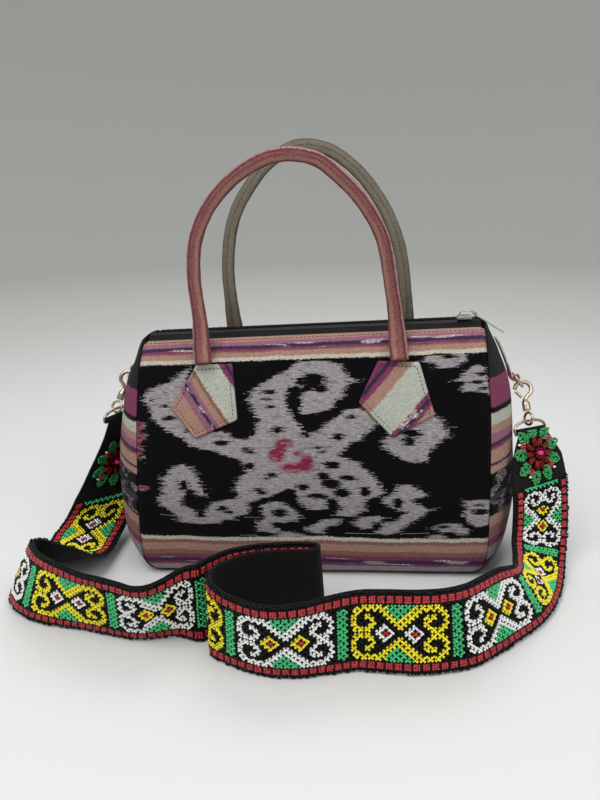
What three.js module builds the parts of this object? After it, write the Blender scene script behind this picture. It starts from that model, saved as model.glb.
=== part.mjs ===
import * as THREE from 'three';

// Woven cloth handbag with a beaded shoulder strap, in millimetres.
// Z is up, X runs along the bag, the front looks towards -Y, the base stands on Z = 0.

// Driving dimensions
const BAG_LENGTH = 256;
const BAG_HEIGHT = 178;
const BAG_DEPTH = 134;
const CLOTH = 2.6;
const GAP = 0.35;
const GUSSET_BULGE = 26.5;
const TOP_RISE = 4.5;
const TAPE_WIDTH = 17;
const TAPE_THICK = 1.2;
const TAPE_DOME = 5.5;
const TAPE_DROP = 1;
const CHAIN_WIDTH = 6;
const CHAIN_THICK = 2.2;
const SLIDER_LENGTH = 12;
const SLIDER_WIDTH = 8.5;
const SLIDER_HEIGHT = 3;
const PULL_LENGTH = 27;
const PULL_WIDTH = 5;
const PULL_THICK = 1.2;
const PULL_TILT_DEG = 32;
const SLIDER_SETBACK = 20;
const HANDLE_RISE = 128;
const HANDLE_RADIUS = 5;
const HANDLE_FLARE_SHARE = 0.3;
const HANDLE_FLAT_SHARE = 0.28;
const PATCH_THICK = 1.6;
const TAB_WIDTH = 12;
const TAB_LENGTH = 30;
const LEFT_TAB_LENGTH = 20;
const TAB_THICK = 2.2;
const D_RING_WIDTH = 15;
const D_RING_DROP = 10;
const WIRE = 1.2;
const HOOK_LOOP_RADIUS = 6;
const HOOK_WIRE = 1.7;
const BARREL_RADIUS = 3.1;
const BARREL_LENGTH = 6;
const EYE_RADIUS = 4.6;
const STRAP_RING_WIDTH = 28;
const STRAP_RING_HEIGHT = 8;
const STRAP_WIDTH = 57;
const WEBBING_THICK = 1.6;
const BEAD_THICK = 2;
const BEAD_WIDTH_SHARE = 0.88;
const FLOWER_RADIUS = 11;
const FLOWER_THICK = 2.6;
const BRIDGE_WIDTH = 3;
const BRIDGE_THICK = 1.1;
const HOOK_SHOULDER = 2.2;
const HOOK_LEVER_RADIUS = 1.2;
const LEVER_LIFT = 0.2;
const LEVER_CLEAR = 0.1;
const TAPE_SETBACK = 3;

// Mesh fineness
const PANEL_COLUMNS = 14;
const PANEL_STEPS = 34;
const GUSSET_ROWS = 14;
const GUSSET_COLUMNS = 10;
const HANDLE_STEPS = 30;
const HANDLE_SIDES = 8;
const STRAP_STEPS = 3;
const WIRE_SIDES = 6;
const HOOK_SIDES = 7;
const PATCH_STEPS = 3;
const TOP_STEPS = 10;

const HALF_LENGTH = BAG_LENGTH / 2;
const HALF_DEPTH = BAG_DEPTH / 2;
const V = (x, y, z) => new THREE.Vector3(x, y, z);
const rad = THREE.MathUtils.degToRad;

// Front half of the section, from the zip edge down to the base: share of half depth, share of height
const SECTION_ROWS = [
  ['zip_edge', 0.25, 0.993],
  ['welt', 0.35, 0.996],
  ['shoulder', 0.46, 0.973],
  ['shoulder_low', 0.545, 0.93],
  ['upper', 0.62, 0.87],
  ['chest', 0.71, 0.765],
  ['middle', 0.805, 0.64],
  ['belly_top', 0.895, 0.495],
  ['belly', 0.97, 0.35],
  ['belly_low', 1.0, 0.225],
  ['hip', 0.985, 0.12],
  ['corner_top', 0.925, 0.055],
  ['corner_low', 0.83, 0.014],
  ['base_edge', 0.72, 0],
  ['base_inner', 0.4, 0],
  ['base_middle', 0, 0],
];

// Swell of the end wall: share of height, share of the full bulge
const BULGE_ROWS = [
  ['base', 0, 0],
  ['foot', 0.03, 0.42],
  ['low', 0.09, 0.74],
  ['lower', 0.16, 0.9],
  ['belly', 0.31, 1],
  ['middle', 0.48, 0.95],
  ['chest', 0.63, 0.86],
  ['upper', 0.79, 0.66],
  ['shoulder', 0.88, 0.42],
  ['crest', 0.955, 0.16],
  ['top', 1, 0.04],
];

// Soft dents and swells of the long walls: side (-1 front, 1 back), then centre x, centre z, half length,
// half height and depth, with z and heights as shares of the bag height and the rest of its length
const DENT_ROWS = [
  ['left_shoulder', -1, -0.36, 0.805, 0.1, 0.144, -0.012],
  ['middle_top', -1, 0.03, 0.834, 0.14, 0.129, -0.009],
  ['left_belly', -1, -0.24, 0.36, 0.2, 0.23, 0.011],
  ['right_belly', -1, 0.27, 0.345, 0.19, 0.259, 0.012],
  ['middle_fold', -1, 0.02, 0.288, 0.07, 0.288, -0.008],
  ['right_shoulder', -1, 0.4, 0.791, 0.08, 0.173, -0.008],
  ['back_left', 1, -0.22, 0.431, 0.18, 0.259, 0.012],
  ['back_right', 1, 0.25, 0.403, 0.2, 0.259, 0.01],
  ['back_middle', 1, 0, 0.647, 0.09, 0.23, -0.009],
];

// Handle centre lines: x share of bag length, y share of depth, z as shares of bag height and handle rise
const FRONT_HANDLE_ROWS = [
  ['left_foot', -0.301, -0.34, 0.909, 0],
  ['left_low', -0.306, -0.302, 0.966, 0],
  ['left_leg', -0.31, -0.266, 1, 0.093],
  ['left_knee', -0.322, -0.243, 1, 0.349],
  ['left_bend', -0.313, -0.235, 1, 0.537],
  ['left_shoulder', -0.271, -0.235, 1, 0.719],
  ['left_crown', -0.196, -0.237, 1, 0.873],
  ['crown_left', -0.117, -0.239, 1, 0.961],
  ['crown', -0.047, -0.241, 1, 0.985],
  ['crown_right', 0.023, -0.241, 1, 0.955],
  ['right_crown', 0.086, -0.239, 1, 0.861],
  ['right_shoulder', 0.151, -0.237, 1, 0.719],
  ['right_bend', 0.199, -0.237, 1, 0.541],
  ['right_knee', 0.219, -0.243, 1, 0.349],
  ['right_leg', 0.236, -0.266, 1, 0.109],
  ['right_low', 0.243, -0.302, 0.978, 0],
  ['right_foot', 0.246, -0.34, 0.92, 0],
];
const BACK_HANDLE_ROWS = [
  ['left_foot', -0.255, 0.34, 0.909, 0],
  ['left_low', -0.258, 0.302, 0.966, 0],
  ['left_leg', -0.262, 0.267, 1, 0.093],
  ['left_knee', -0.265, 0.246, 1, 0.361],
  ['left_bend', -0.24, 0.243, 1, 0.631],
  ['left_crown', -0.186, 0.243, 1, 0.821],
  ['crown_left', -0.123, 0.243, 1, 0.957],
  ['crown', -0.04, 0.243, 1, 1.037],
  ['crown_right', 0.036, 0.243, 1, 1.021],
  ['right_crown', 0.108, 0.243, 1, 0.935],
  ['right_shoulder', 0.174, 0.243, 1, 0.795],
  ['right_bend', 0.229, 0.243, 1, 0.613],
  ['right_knee', 0.264, 0.245, 1, 0.407],
  ['right_leg', 0.282, 0.267, 1, 0.129],
  ['right_low', 0.286, 0.302, 0.985, 0],
  ['right_foot', 0.287, 0.34, 0.92, 0],
];

// Corners of the folded patches: x as share of bag length, z as share of bag height
const PATCH_ROWS = {
  front_left: [[-0.327, 0.895], [-0.222, 0.899], [-0.207, 0.683], [-0.328, 0.608], [-0.398, 0.726]],
  front_right: [[0.188, 0.909], [0.303, 0.903], [0.345, 0.703], [0.229, 0.614], [0.133, 0.751]],
  back_left: [[-0.312, 0.895], [-0.198, 0.895], [-0.156, 0.705], [-0.262, 0.604], [-0.355, 0.719]],
  back_right: [[0.23, 0.903], [0.344, 0.903], [0.388, 0.712], [0.282, 0.61], [0.187, 0.726]],
};

// Strap path from the left ring to the right ring. x is a share of bag length, y of bag depth,
// z of bag height where the strap hangs and of strap width where it stands on its edge.
// name, low edge (x, y, z), high edge (x, y, z), share of the full width, how it lies
const STRAP_ROWS = [
  ['l_ring', -0.648, 0.015, 0.567, -0.613, 0.164, 0.567, 0.42, 'hung'],
  ['l_taper', -0.668, 0, 0.489, -0.613, 0.224, 0.489, 0.62, 'hung'],
  ['l_flower', -0.715, -0.022, 0.354, -0.617, 0.254, 0.36, 0.84, 'hung'],
  ['l_slope', -0.762, -0.045, 0.219, -0.613, 0.209, 0.225, 1, 'hung'],
  ['l_low', -0.812, -0.09, 0.107, -0.613, 0.09, 0.118, 1, 'hung'],
  ['l_lay', -0.84, -0.164, 0.045, -0.625, -0.134, 0.062, 1, 'hung'],
  ['l_twist_a', -0.828, -0.254, 0.053, -0.629, -0.373, 0.193, 1, 'stood'],
  ['l_twist_b', -0.805, -0.358, 0.018, -0.637, -0.552, 0.333, 1, 'stood'],
  ['l_twist_c', -0.797, -0.463, 0.018, -0.652, -0.672, 0.596, 1, 'stood'],
  ['l_twist_d', -0.812, -0.56, 0.018, -0.691, -0.739, 0.789, 1, 'stood'],
  ['l_turn_a', -0.84, -0.642, 0.018, -0.734, -0.754, 0.877, 1, 'stood'],
  ['l_turn_b', -0.848, -0.731, 0.018, -0.746, -0.791, 0.895, 1, 'stood'],
  ['l_turn_c', -0.818, -0.828, 0.018, -0.727, -0.873, 0.912, 1, 'stood'],
  ['l_front_a', -0.773, -0.903, 0.018, -0.695, -0.955, 0.912, 1, 'stood'],
  ['l_front_b', -0.715, -0.955, 0.018, -0.652, -1.026, 0.93, 1, 'stood'],
  ['l_front_c', -0.648, -0.985, 0.018, -0.602, -1.09, 0.93, 1, 'stood'],
  ['l_front_d', -0.59, -1.004, 0.018, -0.551, -1.142, 0.93, 1, 'stood'],
  ['l_front_e', -0.527, -1.037, 0.018, -0.5, -1.179, 0.912, 1, 'stood'],
  ['l_front_f', -0.469, -1.067, 0.018, -0.445, -1.22, 0.912, 1, 'stood'],
  ['l_front_g', -0.43, -1.078, 0.018, -0.41, -1.246, 0.912, 1, 'stood'],
  ['l_front_h', -0.391, -1.067, 0.018, -0.379, -1.239, 0.912, 1, 'stood'],
  ['l_front_i', -0.355, -1.049, 0.018, -0.344, -1.194, 0.93, 1, 'stood'],
  ['l_front_j', -0.32, -1.052, 0.018, -0.311, -1.134, 0.965, 1, 'stood'],
  ['l_front_k', -0.295, -1.071, 0.018, -0.289, -1.104, 0.982, 1, 'stood'],
  ['behind_a', -0.271, -1.082, 0.018, -0.27, -1.09, 1, 1, 'stood'],
  ['behind_b', -0.248, -1.03, 0.018, -0.248, -1.03, 1, 1, 'stood'],
  ['behind_c', -0.199, -0.937, 0.018, -0.199, -0.937, 0.982, 1, 'stood'],
  ['behind_d', -0.137, -0.881, 0.018, -0.137, -0.888, 0.982, 1, 'stood'],
  ['behind_e', -0.059, -0.854, 0.018, -0.059, -0.862, 0.982, 1, 'stood'],
  ['fold_a', 0, -0.847, 0.018, -0.004, -0.858, 0.982, 1, 'stood'],
  ['fold_b', 0.033, -0.858, 0.018, 0.023, -0.869, 0.982, 1, 'stood'],
  ['fold_c', 0.043, -0.892, 0.018, 0.031, -0.899, 0.982, 1, 'stood'],
  ['fold_d', 0.033, -0.925, 0.018, 0.021, -0.929, 1, 1, 'stood'],
  ['fold_e', 0.004, -0.94, 0.018, -0.004, -0.94, 1, 1, 'stood'],
  ['back_a', -0.059, -0.944, 0.018, -0.062, -0.944, 1, 1, 'stood'],
  ['back_b', -0.133, -0.974, 0.018, -0.133, -0.974, 1, 1, 'stood'],
  ['back_c', -0.18, -1.026, 0.018, -0.18, -1.026, 1, 1, 'stood'],
  ['turn_a', -0.213, -1.097, 0.018, -0.213, -1.101, 1.018, 1, 'stood'],
  ['turn_b', -0.23, -1.157, 0.018, -0.227, -1.168, 1.018, 1, 'stood'],
  ['turn_c', -0.227, -1.201, 0.018, -0.217, -1.246, 1, 1, 'stood'],
  ['front_a', -0.199, -1.239, 0.018, -0.188, -1.313, 1, 1, 'stood'],
  ['front_b', -0.152, -1.288, 0.018, -0.141, -1.377, 0.982, 1, 'stood'],
  ['front_c', -0.098, -1.328, 0.018, -0.094, -1.418, 0.982, 1, 'stood'],
  ['front_d', -0.047, -1.343, 0.018, -0.047, -1.425, 0.982, 1, 'stood'],
  ['front_e', 0.004, -1.336, 0.018, 0.004, -1.403, 1, 1, 'stood'],
  ['front_f', 0.062, -1.31, 0.018, 0.059, -1.351, 1, 1, 'stood'],
  ['front_g', 0.129, -1.284, 0.018, 0.129, -1.306, 1.018, 1, 'stood'],
  ['front_h', 0.195, -1.295, 0.018, 0.195, -1.299, 1.018, 1, 'stood'],
  ['front_i', 0.266, -1.306, 0.018, 0.262, -1.299, 1.018, 1, 'stood'],
  ['front_j', 0.34, -1.284, 0.018, 0.328, -1.28, 1.018, 1, 'stood'],
  ['front_k', 0.406, -1.239, 0.018, 0.375, -1.231, 1, 1, 'stood'],
  ['front_l', 0.457, -1.164, 0.018, 0.414, -1.164, 0.982, 1, 'stood'],
  ['front_m', 0.535, -1.03, 0.018, 0.465, -1.06, 0.965, 1, 'stood'],
  ['crease_a', 0.605, -0.896, 0.018, 0.504, -0.985, 0.895, 1, 'stood'],
  ['crease_b', 0.66, -0.746, 0.018, 0.523, -0.881, 0.789, 1, 'stood'],
  ['crease_c', 0.699, -0.59, 0.035, 0.535, -0.754, 0.667, 1, 'stood'],
  ['crease_d', 0.73, -0.44, 0.105, 0.543, -0.642, 0.632, 1, 'stood'],
  ['hang_a', 0.75, -0.321, 0.096, 0.547, -0.552, 0.213, 1, 'hung'],
  ['hang_b', 0.76, -0.246, 0.185, 0.553, -0.5, 0.247, 1, 'hung'],
  ['hang_c', 0.758, -0.201, 0.292, 0.559, -0.463, 0.315, 1, 'hung'],
  ['hang_d', 0.744, -0.187, 0.393, 0.566, -0.418, 0.388, 0.97, 'hung'],
  ['r_flower', 0.725, -0.172, 0.483, 0.57, -0.358, 0.472, 0.86, 'hung'],
  ['r_taper', 0.705, -0.157, 0.545, 0.576, -0.299, 0.545, 0.6, 'hung'],
  ['r_ring', 0.691, -0.142, 0.584, 0.586, -0.254, 0.587, 0.43, 'hung'],
];

// Closed solid from two matching grids of points; wrap joins the last column to the first
function shell(outer, inner, wrap = false) {
  const rows = outer.length;
  const cols = outer[0].length;
  const points = [];
  for (const grid of [outer, inner]) {
    for (const row of grid) {
      points.push(...row);
    }
  }
  const at = (layer, i, j) => layer * rows * cols + i * cols + (j % cols);
  const faces = [];
  const quad = (a, b, c, d) => faces.push(a, b, c, a, c, d);
  const span = wrap ? cols : cols - 1;
  for (let i = 0; i < rows - 1; i += 1) {
    for (let j = 0; j < span; j += 1) {
      quad(at(0, i, j), at(0, i, j + 1), at(0, i + 1, j + 1), at(0, i + 1, j));
      quad(at(1, i, j), at(1, i + 1, j), at(1, i + 1, j + 1), at(1, i, j + 1));
    }
  }
  for (let j = 0; j < span; j += 1) {
    quad(at(0, 0, j), at(1, 0, j), at(1, 0, j + 1), at(0, 0, j + 1));
    quad(at(0, rows - 1, j), at(0, rows - 1, j + 1), at(1, rows - 1, j + 1), at(1, rows - 1, j));
  }
  if (!wrap) {
    for (let i = 0; i < rows - 1; i += 1) {
      quad(at(0, i, 0), at(0, i + 1, 0), at(1, i + 1, 0), at(1, i, 0));
      quad(at(0, i, cols - 1), at(1, i, cols - 1), at(1, i + 1, cols - 1), at(0, i + 1, cols - 1));
    }
  }
  return outward(points, faces);
}

// Solid along a row of closed section rings, with fans as end caps or joined into a loop
function sweep(rings, loop = false) {
  const sides = rings[0].length;
  const points = rings.flat();
  const faces = [];
  const count = rings.length;
  for (let i = 0; i < (loop ? count : count - 1); i += 1) {
    const next = (i + 1) % count;
    for (let j = 0; j < sides; j += 1) {
      const k = (j + 1) % sides;
      const a = i * sides + j;
      const b = i * sides + k;
      const c = next * sides + k;
      const d = next * sides + j;
      faces.push(a, b, c, a, c, d);
    }
  }
  if (!loop) {
    const last = (count - 1) * sides;
    for (let j = 1; j < sides - 1; j += 1) {
      faces.push(0, j + 1, j);
      faces.push(last, last + j, last + j + 1);
    }
  }
  return outward(points, faces);
}

// Geometry whose faces look out of the solid
function outward(points, faces) {
  let volume = 0;
  for (let k = 0; k < faces.length; k += 3) {
    const [a, b, c] = [points[faces[k]], points[faces[k + 1]], points[faces[k + 2]]];
    volume += a.dot(b.clone().cross(c));
  }
  const order = volume < 0 ? faces.slice().reverse() : faces;
  const geometry = new THREE.BufferGeometry();
  const numbers = points.flatMap((p) => [p.x, p.y, p.z]);
  geometry.setAttribute('position', new THREE.Float32BufferAttribute(numbers, 3));
  geometry.setIndex(order);
  geometry.computeVertexNormals();
  return geometry;
}

function curve(points, closed = false) {
  return new THREE.CatmullRomCurve3(points, closed, 'centripetal');
}

// Round or flattened tube along a path: wide across the side direction, deep along the other
function tube(path, steps, sides, wide, deep, side, closed = false) {
  const rings = [];
  const count = closed ? steps : steps + 1;
  for (let i = 0; i < count; i += 1) {
    const t = i / steps;
    const centre = path.getPointAt(t);
    const along = path.getTangentAt(t);
    const across = side.clone().addScaledVector(along, -side.dot(along)).normalize();
    const depth = along.clone().cross(across);
    const ring = [];
    for (let j = 0; j < sides; j += 1) {
      const angle = (j / sides) * 2 * Math.PI;
      const p = centre.clone().addScaledVector(across, Math.cos(angle) * wide(t));
      ring.push(p.addScaledVector(depth, Math.sin(angle) * deep(t)));
    }
    rings.push(ring);
  }
  return sweep(rings, closed);
}

// Flat strip of constant thickness along a path in one plane
function strip(path, steps, normalAt, widthDir, width, thick) {
  const rings = [];
  for (let i = 0; i <= steps; i += 1) {
    const t = i / steps;
    const centre = path.getPointAt(t);
    const normal = normalAt(path.getTangentAt(t));
    const ring = [[-1, -1], [1, -1], [1, 1], [-1, 1]].map(([a, b]) => centre.clone()
      .addScaledVector(widthDir, (a * width) / 2)
      .addScaledVector(normal, (b * thick) / 2));
    rings.push(ring);
  }
  return sweep(rings);
}

// Body surface
const sectionCurve = curve(SECTION_ROWS.map((row) => V(0, -row[1] * HALF_DEPTH, row[2] * BAG_HEIGHT)));
const bulgeCurve = curve(BULGE_ROWS.map((row) => V(row[1] * BAG_HEIGHT, row[2] * GUSSET_BULGE, 0)));
const BASE_ROW = SECTION_ROWS.findIndex((row) => row[0] === 'base_edge');
const BASE_T = BASE_ROW / (SECTION_ROWS.length - 1);
const GROUND_SHARES = [0.01, 0.12];
const CREST_SHARES = [0.88, 0.97];
const LIFT_FROM_SHARE = 0.25;
const END_ROUND_POWER = 2.4;

// Point of the front half at curve parameter t, with its outward direction
function sectionPoint(t) {
  const point = sectionCurve.getPoint(t);
  point.z = Math.max(point.z, 0);
  if (t >= BASE_T) {
    point.z = 0;
  }
  const along = sectionCurve.getTangent(Math.min(t, 1));
  const normal = t >= BASE_T ? V(0, 0, -1) : V(0, along.z, -along.y).normalize();
  return { point, normal };
}

function liftAt(x, z) {
  const up = THREE.MathUtils.smoothstep(z, LIFT_FROM_SHARE * BAG_HEIGHT, BAG_HEIGHT);
  return TOP_RISE * (x / HALF_LENGTH) * up;
}

function dentAt(side, x, z) {
  let depth = 0;
  for (const [, face, cx, cz, hx, hz, amount] of DENT_ROWS) {
    if (face === side) {
      const u = (x / BAG_LENGTH - cx) / hx;
      const v = (z / BAG_HEIGHT - cz) / hz;
      depth += amount * BAG_LENGTH * Math.exp(-(u * u) - v * v);
    }
  }
  const ends = 1 - (x / HALF_LENGTH) ** 4;
  const share = z / BAG_HEIGHT;
  const ground = THREE.MathUtils.smoothstep(share, ...GROUND_SHARES);
  const crest = 1 - THREE.MathUtils.smoothstep(share, ...CREST_SHARES);
  return depth * Math.max(ends, 0) * ground * crest;
}

// Outer surface of the long wall; inset moves into the cloth
function wallPoint(side, t, x, inset = 0) {
  const { point, normal } = sectionPoint(t);
  const out = dentAt(side, x, point.z) - inset;
  const y = point.y + normal.y * out;
  const z = point.z + normal.z * out + liftAt(x, point.z);
  return V(x, -side * y, z);
}

// Curve parameter at which the front section passes a height, below the shoulder
function sectionAtHeight(z) {
  let low = 2 / (SECTION_ROWS.length - 1);
  let high = BASE_T;
  for (let k = 0; k < 30; k += 1) {
    const middle = (low + high) / 2;
    if (sectionCurve.getPoint(middle).z > z) {
      low = middle;
    } else {
      high = middle;
    }
  }
  return (low + high) / 2;
}

function wallAtHeight(side, x, z, inset) {
  return wallPoint(side, sectionAtHeight(z - liftAt(x, z)), x, inset);
}

function mainPanel() {
  const half = [];
  for (let i = 0; i <= PANEL_STEPS / 2; i += 1) {
    half.push((i / (PANEL_STEPS / 2)) ** 0.94);
  }
  const layer = (inset) => {
    const grid = [];
    for (let k = 0; k < 2 * half.length - 1; k += 1) {
      const front = k < half.length;
      const t = front ? half[k] : half[2 * half.length - 2 - k];
      const row = [];
      for (let j = 0; j <= PANEL_COLUMNS; j += 1) {
        const x = (HALF_LENGTH - GAP) * ((2 * j) / PANEL_COLUMNS - 1);
        row.push(wallPoint(front ? -1 : 1, t, x, inset));
      }
      grid.push(row);
    }
    return grid;
  };
  return shell(layer(0), layer(CLOTH));
}

// End wall: rows run down the seam, columns cross from the front seam to the back seam
function endGusset(sign) {
  const layer = (inset) => {
    const grid = [];
    for (let i = 0; i <= GUSSET_ROWS; i += 1) {
      const t = BASE_T * (i / GUSSET_ROWS) ** 0.9;
      const edge = wallPoint(-1, t, sign * HALF_LENGTH, inset);
      const raw = sectionPoint(t).point.z / BAG_HEIGHT;
      const swell = Math.max(bulgeAt(raw) - inset, 0);
      const row = [];
      for (let j = 0; j <= GUSSET_COLUMNS; j += 1) {
        const q = (2 * j) / GUSSET_COLUMNS - 1;
        const round = 1 - Math.abs(q) ** END_ROUND_POWER;
        row.push(V(sign * (HALF_LENGTH + swell * round), edge.y * -q, edge.z));
      }
      grid.push(row);
    }
    return grid;
  };
  return shell(layer(0), layer(CLOTH));
}

function bulgeAt(share) {
  const clamped = THREE.MathUtils.clamp(share, 0, 1);
  let low = 0;
  let high = 1;
  for (let k = 0; k < 24; k += 1) {
    const middle = (low + high) / 2;
    if (bulgeCurve.getPoint(middle).x < clamped * BAG_HEIGHT) {
      low = middle;
    } else {
      high = middle;
    }
  }
  return bulgeCurve.getPoint((low + high) / 2).y;
}

// Point on the end wall at a height and a share across, moved out by some distance
function gussetPoint(sign, z, q, out) {
  const share = (z - liftAt(sign * HALF_LENGTH, z)) / BAG_HEIGHT;
  const bulge = bulgeAt(share);
  const rise = (bulgeAt(share + 0.01) - bulgeAt(share - 0.01)) / (0.02 * BAG_HEIGHT);
  const round = 1 - Math.abs(q) ** END_ROUND_POWER;
  const edge = wallAtHeight(-1, sign * HALF_LENGTH, z, 0);
  const normal = V(sign, 0, -rise * round).normalize();
  return V(sign * (HALF_LENGTH + bulge * round), edge.y * -q, z).addScaledVector(normal, out);
}

// Zip closure along the top
const tapeTop = BAG_HEIGHT * SECTION_ROWS[0][2] - CLOTH - 3 * GAP;
const chainLevel = tapeTop + TAPE_DOME;
const TAPE_INNER = CHAIN_WIDTH / 2 + GAP;

// Strip along the zip, its two long edges at their own heights
function topStrip(yA, yB, zA, zB, thick) {
  const reach = HALF_LENGTH - TAPE_SETBACK;
  const rings = [];
  for (let i = 0; i <= TOP_STEPS; i += 1) {
    const x = reach * ((2 * i) / TOP_STEPS - 1);
    const lift = liftAt(x, BAG_HEIGHT);
    const low = [V(x, yA, zA - thick + lift), V(x, yB, zB - thick + lift)];
    const high = [V(x, yB, zB + lift), V(x, yA, zA + lift)];
    rings.push([...low, ...high]);
  }
  return sweep(rings);
}

// Plate on the front or back wall cut to a corner outline
function patch(side, corners) {
  const outline = [];
  corners.forEach((corner, k) => {
    const next = corners[(k + 1) % corners.length];
    for (let s = 0; s < PATCH_STEPS; s += 1) {
      const f = s / PATCH_STEPS;
      outline.push([corner[0] * (1 - f) + next[0] * f, corner[1] * (1 - f) + next[1] * f]);
    }
  });
  const cx = outline.reduce((sum, p) => sum + p[0], 0) / outline.length;
  const cz = outline.reduce((sum, p) => sum + p[1], 0) / outline.length;
  const shares = [1, 0.66, 0.33];
  const points = [];
  for (const inset of [-2 * GAP - PATCH_THICK, -2 * GAP]) {
    for (const share of shares) {
      for (const [px, pz] of outline) {
        const x = (cx + (px - cx) * share) * BAG_LENGTH;
        const z = (cz + (pz - cz) * share) * BAG_HEIGHT;
        points.push(wallAtHeight(side, x, z, inset));
      }
    }
    points.push(wallAtHeight(side, cx * BAG_LENGTH, cz * BAG_HEIGHT, inset));
  }
  const n = outline.length;
  const size = shares.length * n + 1;
  const faces = [];
  for (const layer of [0, 1]) {
    const base = layer * size;
    const put = (a, b, c) => (layer === 0 ? faces.push(a, b, c) : faces.push(a, c, b));
    for (let r = 0; r < shares.length - 1; r += 1) {
      for (let j = 0; j < n; j += 1) {
        const k = (j + 1) % n;
        const a = base + r * n + j;
        const b = base + r * n + k;
        const c = b + n;
        const d = a + n;
        put(a, b, c);
        put(a, c, d);
      }
    }
    const inner = base + (shares.length - 1) * n;
    for (let j = 0; j < n; j += 1) {
      put(inner + j, inner + ((j + 1) % n), base + size - 1);
    }
  }
  for (let j = 0; j < n; j += 1) {
    const k = (j + 1) % n;
    faces.push(j, size + j, size + k, j, size + k, k);
  }
  return outward(points, faces);
}

// Shares of a handle's length over which its flattened foot turns round
const FLARE_SHARES = [0.02, 0.12];

function handle(rows) {
  const place = ([, x, y, h, r]) => V(x * BAG_LENGTH, y * BAG_DEPTH, h * BAG_HEIGHT + r * HANDLE_RISE);
  const path = curve(rows.map(place));
  const flare = (t) => {
    const end = Math.min(t, 1 - t);
    return 1 - THREE.MathUtils.smoothstep(end, ...FLARE_SHARES);
  };
  const wide = (t) => HANDLE_RADIUS * (1 + HANDLE_FLARE_SHARE * flare(t));
  const deep = (t) => HANDLE_RADIUS * (1 - HANDLE_FLAT_SHARE * flare(t));
  const frame = [];
  for (let i = 0; i <= HANDLE_STEPS; i += 1) {
    const t = i / HANDLE_STEPS;
    const centre = path.getPointAt(t);
    const along = path.getTangentAt(t);
    const depth = V(0, 1, 0).addScaledVector(along, -along.y).normalize();
    const across = depth.clone().cross(along);
    const ring = [];
    for (let j = 0; j < HANDLE_SIDES; j += 1) {
      const angle = (j / HANDLE_SIDES) * 2 * Math.PI;
      const p = centre.clone().addScaledVector(across, Math.cos(angle) * wide(t));
      ring.push(p.addScaledVector(depth, Math.sin(angle) * deep(t)));
    }
    frame.push(ring);
  }
  return sweep(frame);
}

// Strap: edge points of every station, thickened towards the bead face
function strapStations() {
  const scaleOf = (row) => (row[8] === 'hung' ? BAG_HEIGHT : STRAP_WIDTH);
  const place = (row, k) => V(row[k] * BAG_LENGTH, row[k + 1] * BAG_DEPTH, row[k + 2] * scaleOf(row));
  const low = curve(STRAP_ROWS.map((row) => place(row, 1)));
  const high = curve(STRAP_ROWS.map((row) => place(row, 4)));
  const last = STRAP_ROWS.length - 1;
  const stations = [];
  for (let i = 0; i <= last * STRAP_STEPS; i += 1) {
    const at = i / STRAP_STEPS;
    const row = Math.min(Math.floor(at), last - 1);
    const f = at - row;
    const share = STRAP_ROWS[row][7] * (1 - f) + STRAP_ROWS[row + 1][7] * f;
    const a = low.getPoint(at / last);
    const b = high.getPoint(at / last);
    const centre = a.clone().add(b).multiplyScalar(0.5);
    stations.push({ centre, across: b.sub(a).normalize(), half: (share * STRAP_WIDTH) / 2, at });
  }
  stations.forEach((station, i) => {
    const before = stations[Math.max(i - 1, 0)].centre;
    const after = stations[Math.min(i + 1, stations.length - 1)].centre;
    station.along = after.clone().sub(before).normalize();
    station.face = station.along.clone().cross(station.across).normalize();
    const lowest = station.centre.z - station.half * Math.abs(station.across.z);
    const drop = (WEBBING_THICK / 2 + BEAD_THICK) * Math.hypot(station.across.x, station.across.y);
    station.centre.z += Math.max(0, drop + GAP - lowest);
  });
  return stations;
}

function band(stations, near, far, section) {
  return sweep(stations.map((s) => section.map(([share, face]) => s.centre.clone()
    .addScaledVector(s.across, share * s.half)
    .addScaledVector(s.face, face ? far : near))));
}

// Bead flower, from its back to its eye: share of the radius, share of the thickness
const FLOWER_ROWS = [
  ['back', 0.35, 0],
  ['rim_low', 1, 0],
  ['rim_high', 1, 0.55],
  ['crown', 0.42, 1],
  ['eye', 0.18, 0.8],
];
const PETALS = 10;
const PETAL_NOTCH_SHARE = 0.13;

// Scalloped plate on the bead face of the strap
function flower(station) {
  const sides = PETALS * 3;
  const lift = WEBBING_THICK / 2 + 3 * GAP;
  const points = [];
  const side = station.across.clone();
  const up = station.face.clone().cross(side);
  for (const [, share, out] of FLOWER_ROWS) {
    for (let j = 0; j < sides; j += 1) {
      const angle = (j / sides) * 2 * Math.PI;
      const notch = 1 - Math.abs(Math.cos((PETALS * angle) / 2));
      const scallop = share === 1 ? 1 - PETAL_NOTCH_SHARE * notch : 1;
      const radius = FLOWER_RADIUS * share * scallop;
      points.push(station.centre.clone()
        .addScaledVector(side, radius * Math.cos(angle))
        .addScaledVector(up, radius * Math.sin(angle))
        .addScaledVector(station.face, lift + out * FLOWER_THICK));
    }
  }
  const faces = [];
  for (let r = 0; r < FLOWER_ROWS.length - 1; r += 1) {
    for (let j = 0; j < sides; j += 1) {
      const k = (j + 1) % sides;
      faces.push(r * sides + j, r * sides + k, (r + 1) * sides + k);
      faces.push(r * sides + j, (r + 1) * sides + k, (r + 1) * sides + j);
    }
  }
  const last = (FLOWER_ROWS.length - 1) * sides;
  for (let j = 1; j < sides - 1; j += 1) {
    faces.push(0, j + 1, j);
    faces.push(last, last + j, last + j + 1);
  }
  return outward(points, faces);
}

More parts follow.
